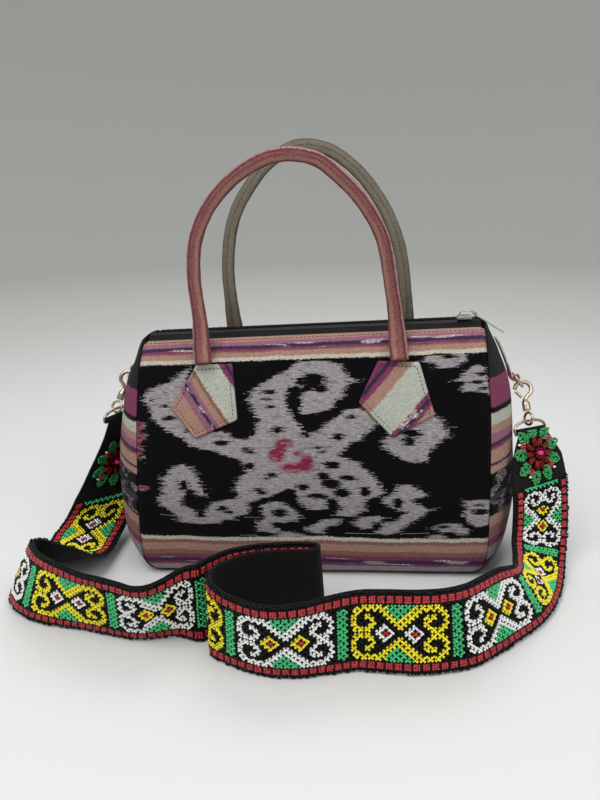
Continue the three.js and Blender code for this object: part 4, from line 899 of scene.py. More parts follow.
# floating white weft threads: across and down at both ends
HAIRLINES = [
    (-111.6, 141.1, -93.6, 143), (-98.1, 143.1, -52.1, 144.6), (-49.1, 142.2, -4, 143.7),
    (13.5, 141.3, 58.1, 142), (24.3, 154.7, 85.4, 153.5), (-52.6, 156.5, -39.4, 156.5),
    (95.4, 78.4, 104.5, 78.6), (-35.6, 127.2, -8.2, 127.7),
]


def segment_distance(x, y, a, b):
    ax, ay, bx, by = *a, *b
    dx, dy = bx - ax, by - ay
    t = np.clip(((x - ax) * dx + (y - ay) * dy) / max(dx * dx + dy * dy, 1e-9), 0, 1)
    return np.hypot(x - ax - t * dx, y - ay - t * dy)


def oval_distance(x, y, ovals):
    """Distance to the nearest oval, negative inside it; good near its edge."""
    def far(cx, cy, rx, ry):
        return (np.hypot((x - cx) / rx, (y - cy) / ry) - 1) * min(rx, ry)
    return np.min([far(*oval) for oval in ovals], axis=0)


def rounded(points, steps=8):
    flat = np.c_[np.array(points, float), np.zeros(len(points))]
    return catmull(flat, np.linspace(0, 1, steps * (len(points) - 1) + 1))[:, :2]


def outline_distance(x, y, corners):
    """Distance to a closed outline, negative inside it."""
    near = np.full(x.shape, 1e3)
    inside = np.zeros(x.shape, bool)
    for a, b in zip(corners, corners[1:] + corners[:1]):
        near = np.minimum(near, segment_distance(x, y, a, b))
        crosses = (a[1] > y) != (b[1] > y)
        level = (b[0] - a[0]) * (y - a[1]) / ((b[1] - a[1]) or 1e-9) + a[0]
        inside ^= crosses & (x < level)
    return np.where(inside, -near, near)


MOTIF_TOP = 27.5
MOTIF_FOOT = 157.8


def ikat_fields(x, y, mirror):
    """Distances to the grey motif and to its madder spots at cloth points."""
    x = -x if mirror else x
    grey = np.min([outline_distance(x, y, corners) for corners in IKAT_SHAPES.values()], axis=0)
    grey = np.maximum(grey, -oval_distance(x, y, IKAT_SPOTS))
    edges = oval_distance(x, y, MADDER_EDGES)
    grey = np.minimum(grey, edges)
    madder = np.minimum(oval_distance(x, y, MADDER_SPOTS), edges)
    inside = (y > MOTIF_TOP) & (y < MOTIF_FOOT)
    return np.where(inside, grey, np.maximum(grey, 4.0)), madder


# ---- cloth of the bag
IKAT = ikat_material()
EDGE_CLOTH = striped_material("edge_cloth", EDGE_STRIPES, FINE_RUN[-1], (111.0, 142.0), GREY)
# how much cloth the stripes of a patch and of a handle cover
PATCH_RUN = 56.0
HANDLE_RUN = 32.0
LEFT_PATCH = striped_material("left_patch_cloth", LEFT_PATCH_STRIPES, PATCH_RUN, (15.0, 19.0))
RIGHT_PATCH = striped_material("right_patch_cloth", RIGHT_PATCH_STRIPES, PATCH_RUN, (38.0, 45.0))
ROSE = striped_material("rose_cloth", ROSE_STRIPES, HANDLE_RUN)
OLIVE = striped_material("olive_cloth", OLIVE_STRIPES, HANDLE_RUN)
TAPE = tape_material("black_tape", rgb(8, 8, 8), 1.1)
WEB = tape_material("webbing", rgb(10, 9, 8), 1.7)
THREAD = plain("thread", rgb(112, 76, 74), 0.8, grain=0.15)
PALE_THREAD = plain("pale_thread", rgb(196, 192, 190), 0.8, grain=0.1)
DARK_THREAD = plain("dark_thread", rgb(24, 22, 26), 0.6, grain=0.15)
NICKEL = metal_material("nickel", rgb(196, 192, 186), 0.24)
CHAMPAGNE = metal_material("champagne_nickel", rgb(200, 184, 160), 0.26)
TEETH = plain("zip_teeth", rgb(22, 24, 24), 0.35, grain=0.1)

LOW_FOLDS = [(0.031, 0.9, 1.3), (0.054, 2.1, 0.7), (0.022, 4.4, 1.9)]


def ripple(x, run):
    """Small soft unevenness of the padded cloth."""
    out = 0
    for k, phase, tilt in LOW_FOLDS:
        out = out + 0.32 * np.sin(x * k * 2 + phase + run * k * tilt) * np.cos(run * k * 1.7 + 2 * phase)
    return out


FOOT_ROUND = 12
FOOT_HEIGHT = 24
TOP_ROUND = 2.6
TOP_FROM = 118
TOP_TO = 176
# thickness of the dressed cloth, a little under the solid's
SHOWN = CLOTH - 0.3
HEM_RUN = 8.4


def foot_inset(z):
    """How far the rounded foot of the bag draws its ends in at height z."""
    return FOOT_ROUND * (1 - np.sqrt(1 - np.clip(1 - z / FOOT_HEIGHT, 0, 1) ** 2))


def top_inset(z):
    return TOP_ROUND * smooth(z, TOP_FROM, TOP_TO)


def panel():
    """The ikat cloth from the front zip edge down, under the bag and up to the back one."""
    # rows lie closest where the motif is
    border, motif, under = (0, 26, 16), (27.25, 160, 107), (162.5, FINE_RUN[-1], 36)
    half = np.concatenate([np.linspace(*rows) for rows in (border, motif, under)])
    run = np.concatenate([half, half[-2::-1]])
    side = np.concatenate([np.full(len(half), -1), np.full(len(half) - 1, 1)])
    edge = HALF_LENGTH - GAP
    crowd = math.pi / 2 * 0.86
    x = edge * np.sin(np.linspace(-1, 1, 129) * crowd) / math.sin(crowd)
    rows = []
    for r, s in zip(run, side):
        seam = -1.3 * smooth(np.abs(x), edge - 4.5, edge) ** 2
        pucker = 0.22 * np.sin(x * 1.15) * smooth(r, 14, 4) * smooth(r, 0, 3)
        hem = -0.55 * np.exp(-(((r - HEM_RUN) / 0.9) ** 2))
        soft = ripple(x, r) * smooth(r, 12, 40) * smooth(r, 200, 180) * (1 - (x / edge) ** 4)
        out = np.minimum(seam + pucker + hem + soft, 1.5)
        rows.append([wall(s, t_at_run(r), x, out - inset) for inset in (0, SHOWN)])
    outer, inner = np.array(rows).swapaxes(0, 1)
    outer[..., 2] = np.maximum(outer[..., 2], 0)
    inner[..., 2] = np.maximum(inner[..., 2], 1.2)
    for sheet in (outer, inner):
        inset = foot_inset(sheet[..., 2]) + top_inset(sheet[..., 2])
        sheet[..., 0] -= np.sign(sheet[..., 0]) * inset * (np.abs(x) / HALF_LENGTH) ** 5
    across, down = (np.broadcast_to(v, outer.shape[:2]) for v in (x, run[:, None]))
    count = len(half)
    # the back edge is bound in black along the zip
    bound = np.interp(run, [0, 7, 9, 11, 300], [-4, -4, 4, 11, 300])
    dyed = np.where(side < 0, np.maximum(run, 4), bound)
    grey, madder = ikat_fields(across, down, False)
    grey_back, madder_back = ikat_fields(across, down, True)
    grey[count:], madder[count:] = grey_back[count:], madder_back[count:]
    slope = np.abs(np.gradient(grey, x, axis=1)).clip(0.12, 1)
    dyed = np.broadcast_to(dyed[:, None], down.shape)
    values = {"across": across, "down": dyed, "ikat": grey, "madder": madder, "ikat_side": slope}
    values = {key: twice(value) for key, value in values.items()}
    made = piece("body_cloth", *slab(outer, inner), IKAT, "ikat_cloth", **values)
    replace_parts(made, "main_panel")


def gusset(sign, name):
    """End wall with a soft turned seam along both edges."""
    run = np.linspace(0, FINE_RUN[BASE_STEP], 100)
    t = t_at_run(run)
    q = np.linspace(-1, 1, 61)
    tt, qq = np.meshgrid(t, q, indexing="ij")
    seam = -0.5 * np.abs(qq) ** 24
    folds = 0.5 * np.sin(qq * 7 + tt * 9 + sign) * (1 - np.abs(qq) ** 3) * smooth(tt, 0.02, 0.2)
    folds = folds + 0.45 * np.sin(tt * 34 + sign * 2) * (1 - np.abs(qq) ** 2) * smooth(tt, 0.1, 0.3)
    outer, inner = (end_wall(sign, tt, qq, seam + folds - inset) for inset in (0.0, SHOWN))
    for sheet in (outer, inner):
        sheet[..., 2] = z = np.maximum(sheet[..., 2], 0.3)
        inset = foot_inset(z) + top_inset(z) * np.abs(qq) ** 6
        sheet[..., 0] = sign * (np.maximum(sign * sheet[..., 0], HALF_LENGTH + 0.02) - inset)
    across, down = qq * 60 * sign + 300, np.broadcast_to(run[:, None], tt.shape)
    values = {"across": twice(across), "down": twice(down)}
    made = piece(name + "_cloth", *slab(outer, inner), EDGE_CLOTH, "striped_cloth", **values)
    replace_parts(made, name)


# stitches: pitch, share of it that the thread covers, and the thread's radius
HEM_STITCH = (3.1, 0.74, 0.26)
LOOSE_STITCH = (1.35, 0.62, 0.2)
PATCH_STITCH = (2.9, 0.72, 0.27)
HANDLE_STITCH = (3.0, 0.72, 0.22)
TAPE_STITCH = (2.6, 0.72, 0.2)


def stitches(line, normals, pitch, share, radius):
    """Thread stitches along a line on a surface: long beads that dip at both ends."""
    run = lengths(line)
    count = max(2, int(run[-1] / pitch))
    at = (np.arange(count) + 0.5) * run[-1] / count
    def point(s, table):
        return np.stack([np.interp(s, run, table[:, k]) for k in range(3)], 1)
    centres, up = point(at, line), unit(point(at, normals))
    axes = unit(point(at + 0.4, line) - point(at - 0.4, line))
    return centres + up * radius * 0.3, axes, up, pitch * share / BEAD_END, radius


def sew(name, rows, material, slot):
    """One mesh of all the stitches of several lines."""
    sets = [stitches(*row) for row in rows]
    centres, axes, up = (np.vstack([s[k] for s in sets]) for k in range(3))
    length, radius = (np.concatenate([np.full(len(s[0]), s[k]) for s in sets]) for k in (3, 4))
    beads(name, centres, axes, up, length, radius, material, slot)


def surface_normals(line, side):
    """Rough outward directions of the long wall at points on it."""
    up = np.zeros_like(line)
    ahead = np.interp(line[:, 2], FINE_Z[DOWN][::-1], np.gradient(FINE_Y[DOWN], FINE_Z[DOWN])[::-1])
    up[:, 1], up[:, 2] = side, -ahead
    return unit(up)


def wall_stitches():
    x = np.linspace(-HALF_LENGTH + 4, HALF_LENGTH - 4, 200)
    rows = []
    for side in (-1, 1):
        line = wall(side, t_at_run(HEM_RUN), x, -0.3)
        _, _, ny, nz = section(t_at_run(HEM_RUN))
        normal = np.broadcast_to(unit([0, -side * ny[0], nz[0]]), line.shape)
        rows.append((line, normal, *HEM_STITCH))
    sew("panel_stitches", rows, THREAD, "ikat_cloth")


def floating_threads():
    """White weft threads that skip over the black ground in dashes."""
    rows = []
    for side in (-1, 1):
        for x_from, r_from, x_to, r_to in HAIRLINES:
            share = np.linspace(0, 1, 40)
            x = -side * (x_from + (x_to - x_from) * share)
            line = wall(side, t_at_run(r_from + (r_to - r_from) * share), x, 0.12)
            rows.append((line, surface_normals(line, side), *LOOSE_STITCH))
    sew("floating_threads", rows, PALE_THREAD, "ikat_cloth")


def patch_outline(corners, per_side=18, round_by=0.06):
    """The five-sided outline with its corners rounded, in millimetres along and up the wall."""
    corners = np.array(corners) * (BAG_LENGTH, BAG_HEIGHT)
    out = []
    for k in range(len(corners)):
        a, b, c = corners[k - 1], corners[k], corners[(k + 1) % len(corners)]
        start, stop = b + (a - b) * round_by, b + (c - b) * round_by
        turn = np.linspace(0, 1, 5)[:, None]
        # a quadratic curve round the corner, then the straight side
        out.append((1 - turn) ** 2 * start + 2 * turn * (1 - turn) * b + turn**2 * stop)
        line = np.linspace(0, 1, per_side)[1:-1, None]
        out.append(stop + (c + (b - c) * round_by - stop) * line)
    return np.vstack(out)


# heights over the wall of a patch's underside, folded edge, middle and topstitch
UNDER_PATCH = 0.45
PATCH_EDGE = 0.75
PATCH_MIDDLE = 2.3
PATCH_SEAM = 1.85
SEAM_SHARE = 0.87
# where the rolled seam runs round a handle: its valley, its roll and the thread, as angles
HANDLE_VALLEY = 4.1
HANDLE_ROLL = 4.45
HANDLE_THREAD = 4.62


def patch(side, name, cloth_material, slope_deg):
    """Folded five-sided patch, its edges rolled under and its topstitch pulled in."""
    outline = patch_outline(PATCH_ROWS[name])
    centre = outline.mean(0)
    shares = np.concatenate([[1.0, 1.0], np.linspace(0.995, 0.9, 8), np.linspace(0.86, 0.1, 14)])
    flat = centre + (outline - centre)[None] * shares[:, None, None]
    depth = np.full(flat.shape[:2], 1e3)
    corners = np.array(PATCH_ROWS[name]) * (BAG_LENGTH, BAG_HEIGHT)
    for a, b in zip(corners, np.roll(corners, -1, axis=0)):
        depth = np.minimum(depth, segment_distance(flat[..., 0], flat[..., 1], a, b))
    edge = PATCH_EDGE + 1.45 * np.sqrt(np.clip(depth / 1.3, 0, 1))
    groove = 0.5 * np.exp(-(((depth - 3.0) / 0.75) ** 2))
    height = edge - groove + 0.3 * smooth(depth, 3, 10)
    height[0] = 0.5
    t = t_at_place(flat[..., 0], flat[..., 1])
    t_middle = t_at_place(centre[0], centre[1:])
    top = wall(side, t, flat[..., 0], height)
    middle, under_middle = (wall(side, t_middle, centre[:1], out) for out in (PATCH_MIDDLE, UNDER_PATCH))
    under = wall(side, t[0], flat[0, :, 0], UNDER_PATCH)
    points = np.vstack([top.reshape(-1, 3), middle, under, under_middle])
    count, sides = flat.shape[:2]
    j = np.arange(sides)
    k = (j + 1) % sides
    tip, low = count * sides, count * sides + 1
    faces = [grid(count, sides, ring=True), fan(j + tip - sides, tip)]
    faces += [np.stack([k, j, low + j, low + k], 1), fan(low + j, low + sides, True)]
    a = math.radians(slope_deg)
    cloth = np.vstack([flat.reshape(-1, 2), centre[None], flat[0], centre[None]]) - centre
    down = cloth @ (-math.sin(a), math.cos(a)) + 24
    across = cloth @ (math.cos(a), math.sin(a)) + 60 * len(name)
    made = piece("patch_cloth_" + name, points, faces, cloth_material, "patch_cloth", across=across,
                 down=down)
    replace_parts(made, "patch_" + name)
    seam = centre + (patch_outline(PATCH_ROWS[name], round_by=0.03) - centre) * SEAM_SHARE
    line = wall(side, t_at_place(seam[:, 0], seam[:, 1]), seam[:, 0], PATCH_SEAM)
    line = np.vstack([line, line[:1]])
    return line, surface_normals(line, side)


def handle(name, rows, material, slot):
    """Padded tube with a rolled seam along it; gives back the line of its stitches."""
    path = [(x * BAG_LENGTH, y * BAG_DEPTH, h * BAG_HEIGHT + r * HANDLE_RISE) for x, y, h, r in rows]
    steps, sides = 260, 28
    line, along = even(path, steps)
    u = np.linspace(0, 1, steps)
    end = np.minimum(u, 1 - u)
    flare = 1 - smooth(end, 0.02, 0.12)
    depth_dir = frames(line, along, (0, 1, 0))[0]
    across_dir = np.cross(depth_dir, along)
    turn = np.linspace(0, 2 * math.pi, sides, endpoint=False)
    wide = HANDLE_RADIUS * (1 + (HANDLE_FLARE - 1) * flare)
    deep = HANDLE_RADIUS * (1 - 0.28 * flare)
    run = lengths(line)
    lumps = 1 + 0.018 * np.sin(run * 0.21)[:, None] * np.cos(turn + 1)
    lumps = lumps + 0.014 * np.sin(run * 0.47 + 2)[:, None] * np.cos(2 * turn)
    places = ((HANDLE_VALLEY, 0.14), (HANDLE_ROLL, 0.2))
    valley, roll = (np.exp(-(((turn - at) / w) ** 2)) for at, w in places)
    radial = lumps * (1 - 0.10 * valley + 0.045 * roll)
    rings = line[:, None] + across_dir[:, None] * (np.cos(turn) * wide[:, None] * radial)[..., None]
    rings = rings + depth_dir[:, None] * (np.sin(turn) * deep[:, None] * radial)[..., None]
    points = np.vstack([rings.reshape(-1, 3), line[:1], line[-1:]])
    rim, tip = np.arange(sides), steps * sides
    faces = [grid(steps, sides, ring=True)[:, ::-1], fan(rim, tip), fan(rim + tip - sides, tip + 1, True)]
    down = np.concatenate([np.tile(turn * HANDLE_RADIUS, steps), [0, 0]])
    across = np.concatenate([np.repeat(run, sides), [0, run[-1]]])
    made = piece(name + "_cloth", points, faces, material, slot, across=across, down=down)
    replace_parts(made, name)
    out = across_dir * (math.cos(HANDLE_THREAD) * wide)[:, None]
    out = out + depth_dir * (math.sin(HANDLE_THREAD) * deep)[:, None]
    return (line + out)[12:-12], unit(out)[12:-12]


# ---- shoulder strap
PER_ROW = 9
STATIONS = strap_line(PER_ROW)
RUN = lengths(STATIONS["centre"])


def on_strap(s, v, out):
    """Point on the strap s along it, v across from its middle and out from its bead face; and its axes."""
    s, v, out = np.broadcast_arrays(np.asarray(s, float), v, out)
    def read(key):
        table = STATIONS[key]
        return np.stack([np.interp(s, RUN, table[:, k]) for k in range(3)], -1)
    across, face, along = unit(read("across")), unit(read("face")), unit(read("along"))
    half = np.interp(s, RUN, STATIONS["half"])
    width = (v / (STRAP_WIDTH / 2) * half)[..., None]
    return read("centre") + across * width + face * out[..., None], across, face, along


# degrees that the band's end goes round its ring
FOLD_TURN = (10, 200)


def webbing():
    """Ribbed band with both ends folded round their strap rings."""
    centre, across, face, half = (STATIONS[k] for k in ("centre", "across", "face", "half"))
    radius = WIRE + 2 * GAP + WEBBING_THICK / 2
    turns = np.radians(np.linspace(*FOLD_TURN, 20))
    ends = []
    for k, away in ((0, -STATIONS["along"][0]), (-1, STATIONS["along"][-1])):
        bar = centre[k] - face[k] * radius
        faces_ = face[k] * np.cos(turns)[:, None] + away * np.sin(turns)[:, None]
        ends.append((bar + faces_ * radius, faces_, across[k], half[k]))
    (a_points, a_faces, a_across, a_half), (b_points, b_faces, b_across, b_half) = ends
    count = len(turns)
    centre = np.vstack([a_points[::-1], centre, b_points])
    face = np.vstack([a_faces[::-1], face, b_faces])
    across = np.vstack([np.tile(a_across, (count, 1)), across, np.tile(b_across, (count, 1))])
    half = np.concatenate([np.full(count, a_half), half, np.full(count, b_half)])
    share = np.array([-1, *np.linspace(-0.985, 0.985, 26), 1])
    rim = np.where(np.abs(share) == 1, 0.3, 1.0)
    wide = share * half[:, None]
    base = centre[:, None] + across[:, None] * wide[..., None]
    ribs = 0.05 * np.sin(np.arange(len(centre)) * math.pi)[:, None]
    thick = WEBBING_THICK / 2 * rim
    top, low = (base + face[:, None] * (sign * thick + ribs)[..., None] for sign in (1, -1))
    run = np.broadcast_to(lengths(centre)[:, None], base.shape[:2])
    points, faces = slab(top, low)
    made = piece("strap_band", points, faces[:, ::-1], WEB, "webbing", across=twice(wide), down=twice(run))
    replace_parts(made, "strap_webbing")


GLASS = {"Coat_Weight": 0.35, "Coat_Roughness": 0.12, "Specular_IOR_Level": 0.4}
BEAD_PAINTS = [
    plain("black_bead", rgb(4, 4, 5), 0.42, tint=0.3, Specular_IOR_Level=0.25),
    plain("red_bead", rgb(182, 38, 46), 0.26, tint=0.2, **GLASS),
    plain("green_bead", rgb(70, 200, 128), 0.28, tint=0.16, **GLASS),
    plain("yellow_bead", rgb(252, 238, 40), 0.28, tint=0.1, **GLASS),
    plain("white_bead", rgb(250, 251, 248), 0.26, tint=0.06, **GLASS),
    plain("pink_bead", rgb(232, 44, 138), 0.2, **GLASS),
    plain("garnet_bead", rgb(112, 8, 5), 0.3, tint=0.2, Specular_IOR_Level=0.3),
    plain("leaf_bead", rgb(44, 150, 84), 0.28, tint=0.25, **GLASS),
]
JET, RED, GREEN, YELLOW, PEARL, ROSE_BEAD, GARNET, LEAF = range(8)

CELL = 2.86
BLOCK_CELLS = 24
NET_PITCH = 2.22
NET_REACH = 20.0
NET_HEIGHT = 0.95
KNOT_HEIGHT = 0.28
# start and stop of each block along the strap; yellow and white motifs take turns
BLOCKS = [
    (71.0, 141.0), (163.7, 233.0), (233.0, 302.8), (302.8, 361.0), (361.0, 432.0), (432.0, 492.4),
    (492.4, 561.7), (561.7, 631.0), (631.0, 700.3), (700.3, 769.6), (769.6, 837.0), (837.0, 887.0),
]
# one quarter of the motif: half width of a stroke, then its points (along, across) in cells from the middle
ARM = [(1.0, [(0, 1.75), (4.1, 5.6)]), (0.75, [(3.6, 5.85), (8.4, 5.9)])]
SCROLL = [
    (8.4, 5.9), (9.6, 5.3), (10.1, 4.05), (10.2, 2.3), (9.5, 1.0),
    (8.1, 0.7), (6.6, 1.2), (5.8, 2.5), (6.3, 3.6), (7.5, 3.8),
]


def chart(u, v, motif):
    """Bead colour at a place in a block, in cells from its middle."""
    u, v = np.abs(u), np.abs(v)
    colour = np.full(u.shape, JET)
    colour[(u > 10.75) & (v < 6.5)] = GREEN
    colour[(u < 0.86 * (v - 2.9)) & (v < 6.7)] = GREEN
    u = u * 1.07
    for width, points in [*ARM, (0.72, rounded(SCROLL, 4))]:
        for a, b in zip(points[:-1], points[1:]):
            colour[(segment_distance(u, v, a, b) < width) & (v < 6.9)] = motif
    ring = np.abs(u - 3.1) + v
    colour[ring < 2.35] = YELLOW if motif == PEARL else PEARL
    colour[ring < 1.2] = RED
    return colour


# length and radius of the seed beads
EDGE_RED = (2.0, 0.86)
EDGE_JET = (1.5, 0.5)
ROW_JET = (1.6, 0.6)
NET_BEAD = (1.6, 0.88)
EDGE_PITCH = 5.3


def border(start, stop):
    """Edge rows of one block: clusters of red beads in a zigzag, thin black rows around them."""
    count = round((stop - start) / EDGE_PITCH)
    first = start + np.arange(count) * (stop - start) / count
    rows = []
    for edge in (-1, 1):
        for v, tilt in ((21.3, 0.8), (22.85, -0.8), (24.4, 0.8)):
            for off in (0.85, 2.2, 3.55):
                rows.append((first + off, np.full(count, edge * v), tilt * edge, RED, *EDGE_RED))
        for v in (20.6, 22.0, 23.4, 24.8):
            rows.append((first + 4.75, np.full(count, edge * v), 0.0, JET, *EDGE_JET))
        straight = np.arange(start, stop, 1.4)
        rows.append((straight, np.full(len(straight), edge * NET_REACH), 9.0, JET, *ROW_JET))
    return [np.concatenate([np.broadcast_to(r[k], len(r[0])) for r in rows]) for k in range(6)]


def netting(name, start, stop, motif):
    """Diamond net of round beads: one at each knot and one on each thread between, with small holes."""
    along_count = max(2, round((stop - start) / NET_PITCH / 2) * 2)
    across_count = round(NET_REACH / NET_PITCH)
    columns = np.arange(-across_count, across_count + 1)
    i, j = (v.ravel() for v in np.meshgrid(np.arange(along_count), columns, indexing="ij"))
    knots = (i + j) % 2 == 0
    inner = j < across_count
    turn = np.where(knots[inner], 1.0, -1.0)
    place_u = np.concatenate([i[knots] + 0.25, i[inner] + 0.75])
    place_v = np.concatenate([j[knots], j[inner] + 0.5])
    slope = np.concatenate([np.zeros(knots.sum()), turn])
    s = start + place_u * (stop - start) / along_count
    v = place_v * NET_PITCH
    middle = (start + stop) / 2
    colour = chart((s - middle) / (stop - start) * BLOCK_CELLS, v / CELL, motif)
    net = (s, v, slope, colour, *(np.full(len(s), size) for size in NET_BEAD))
    s, v, slope, colour, long_, thick = (np.concatenate(rows) for rows in zip(net, border(start, stop)))
    wobble = rng.normal(0, 0.09, (3, len(s)))
    lift_ = np.where(slope == 0, KNOT_HEIGHT, 0.0)
    out = WEBBING_THICK / 2 + NET_HEIGHT + lift_ + wobble[2]
    centre, across, face, along = on_strap(s + wobble[0], v + wobble[1], out)
    size = 1 + rng.normal(0, 0.06, len(s))
    axes = along * slope[:, None] + across
    return beads(name, centre, axes, face, long_ * size, thick * size, BEAD_PAINTS, "glass_beads", colour)


LOOP_PITCH = 4.2
LOOP_START = 26.7
LOOP_HALF = 1.75
LOOP_REACH = 1.2
LOOP_BEADS = 6
EDGE_ROW = 25.9
LOOPS_FROM = 71.0
LOOPS_MIDDLE = 480.0
LOOPS_TO = 889.0


def picots(name, s_from, s_to):
    """Black bead loops along both edges of the band, over a straight edging row."""
    count = int((s_to - s_from) / LOOP_PITCH)
    middles = s_from + (np.arange(count) + 0.5) * (s_to - s_from) / count
    angles = np.linspace(0, math.pi, LOOP_BEADS)
    parts = []
    for edge in (-1, 1):
        size = 1 + rng.normal(0, 0.18, count)
        stray = rng.normal(0, 0.2, (count, LOOP_BEADS))
        s = (middles[:, None] - LOOP_HALF * np.cos(angles)[None] + stray).ravel()
        v = (LOOP_START + LOOP_REACH * np.sin(angles)[None] * size[:, None]).ravel()
        high = (0.2 + 1.1 * np.sin(angles)[None] * rng.random(count)[:, None]).ravel()
        centre, across, face, along = on_strap(s, edge * v, WEBBING_THICK / 2 + high)
        bend = np.tile(angles, count)[:, None]
        parts.append((centre, along * np.sin(bend) + across * edge * np.cos(bend), face))
        straight = np.arange(s_from, s_to, 1.35)
        centre, across, face, along = on_strap(straight, edge * EDGE_ROW, WEBBING_THICK / 2 + 0.8)
        parts.append((centre, along, face))
    centre, axes, face = (np.vstack([p[k] for p in parts]) for k in range(3))
    # no bead dips under the floor
    centre[:, 2] = np.maximum(centre[:, 2], 1.0)
    beads(name, centre, axes, face, 1.5, 0.72, BEAD_PAINTS[JET], "glass_beads", sides=5)


# ---- flowers
def loop_of_beads(centre_uv, turn, length, width, count):
    """Bead places round a leaf outline, in strap millimetres, with their directions."""
    a = np.linspace(0, 2 * math.pi, count, endpoint=False)
    x, y = length / 2 * np.cos(a), width / 2 * np.sin(a) * (1 - 0.35 * np.cos(a))
    c, s = math.cos(turn), math.sin(turn)
    u, v = centre_uv[0] + x * c - y * s, centre_uv[1] + x * s + y * c
    return u, v, np.gradient(u), np.gradient(v)


def polar(reach, a):
    return reach * math.cos(a), reach * math.sin(a)


PETALS = 10
# beads of a flower lie no further from the strap's middle
FLOWER_REACH = 23.0
# direction in degrees and reach from the flower's middle
LEAVES = [
    (8, 17.5), (42, 17.0), (84, 16.0), (122, 17.0), (163, 17.5),
    (203, 17.0), (246, 16.0), (288, 16.0), (328, 17.5),
]
BUDS = [(62, 14.5), (143, 15.0), (226, 15.0), (308, 14.8)]


def flower(name, s_middle, side_limit):
    """Raised flower of bugle beads on the bare webbing, with green leaf loops and small pearls."""
    places, axes, kinds, length, radius, height = [], [], [], [], [], []
    def put(u, v, du, dv, kind, long_, thick, lift_):
        for one in np.broadcast(u, v, du, dv, lift_):
            places.append(one[:2])
            axes.append(one[2:4])
            height.append(one[4])
            kinds.append(kind)
            length.append(long_)
            radius.append(thick)
    for k in range(PETALS):
        a = 2 * math.pi * k / PETALS + 0.2 + rng.normal(0, 0.05)
        c, s = math.cos(a), math.sin(a)
        for off, reach, long_, high in ((-1.0, 8.1, 8.2, 2.2), (0.0, 8.6, 9.4, 3.2), (1.0, 8.1, 8.2, 2.2)):
            put(reach * c - off * s, reach * s + off * c, c, s, GARNET, long_, 0.92, high)
    put(0, 0, 1, 0, ROSE_BEAD, 4.2, 2.3, 4.2)
    for k in range(9):
        a = 2 * math.pi * k / 9
        put(*polar(3.3, a), -math.sin(a), math.cos(a), GARNET, 2.1, 0.95, 3.6)
    for turn_deg, reach in LEAVES:
        a = math.radians(turn_deg)
        for turn, long_, wide_, count in ((0.0, 10.0, 7.0, 17), (0.7, 8.0, 3.4, 12), (-0.8, 7.0, 3.0, 11)):
            u, v, du, dv = loop_of_beads(polar(reach, a), a + turn, long_, wide_, count)
            rough = rng.normal(0, 0.32, (2, len(u)))
            put(u + rough[0], v + rough[1], du, dv, LEAF, 1.8, 0.86, 1.55)
    for turn_deg, reach in BUDS:
        a = math.radians(turn_deg)
        put(*loop_of_beads(polar(reach, a), a, 4.0, 3.4, 7), RED, 1.7, 0.9, 1.9)
        put(*polar(reach, a), 1, 0, RED, 2.2, 1.1, 2.1)
        put(*polar(reach + 3.8, a), 1, 0, PEARL, 1.9, 1.05, 2.3)
    places = np.array(places)
    keep = np.abs(places[:, 1]) < side_limit
    axes, kinds, length, radius, height = (np.array(v)[keep] for v in (axes, kinds, length, radius, height))
    # the strap is narrower here, and the flower isn't
    s, v = s_middle + places[keep, 0], places[keep, 1]
    v = v * (STRAP_WIDTH / 2) / np.interp(s, RUN, STATIONS["half"])
    centre, across, face, along = on_strap(s, v, WEBBING_THICK / 2 + height - 0.5)
    axes = along * axes[:, :1] + across * axes[:, 1:]
    set_of = (centre, axes, face, length, radius, BEAD_PAINTS, "glass_beads", kinds)
    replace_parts(beads(name + "_beads", *set_of, sides=8), name)


# ---- zip
TAPE_WIDTH = 17
TAPE_THICK = 1.2
TAPE_DOME = 5.5
TAPE_DROP = 1
CHAIN_WIDTH = 6
TAPE_TOP = BAG_HEIGHT * 0.993 - CLOTH - 3 * GAP
CHAIN_LEVEL = TAPE_TOP + TAPE_DOME
TAPE_FALL = TAPE_DOME + TAPE_DROP
TAPE_REACH = HALF_LENGTH - 3
TAPE_INNER = CHAIN_WIDTH / 2 + GAP
TAPE_SEAM = 4.2
TOOTH_PITCH = 0.95
UP = (0, 0, 1.0)


def zip_tape(side, name):
    """Ribbed tape with a soft wave in it and a turned edge by the teeth."""
    x = np.linspace(-TAPE_REACH, TAPE_REACH, 180)
    share = np.linspace(0, 1, 15)
    xx, ss = np.meshgrid(x, share, indexing="ij")
    y = TAPE_INNER + TAPE_WIDTH * ss
    z = CHAIN_LEVEL - TAPE_FALL * ss + 0.3 * np.sin(xx * 0.11 + side) * np.sin(ss * math.pi)
    z = z + 0.35 * np.exp(-(((ss - 0.07) / 0.06) ** 2)) + lift(xx, BAG_HEIGHT)
    points = np.stack([xx, side * y, z], -1)
    under = points - (0, 0, TAPE_THICK)
    points, faces = slab(points, under)
    faces = faces if side > 0 else faces[:, ::-1]
    tape = piece(name + "_cloth", points, faces, TAPE, "black_tape", across=twice(y), down=twice(xx))
    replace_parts(tape, name)
    x = x[4:-4]
    level = CHAIN_LEVEL - TAPE_FALL * TAPE_SEAM / TAPE_WIDTH + 0.1 + lift(x, BAG_HEIGHT)
    line = np.stack([x, np.full(len(x), side * (TAPE_INNER + TAPE_SEAM)), level], -1)
    return line, np.tile(UP, (len(x), 1))


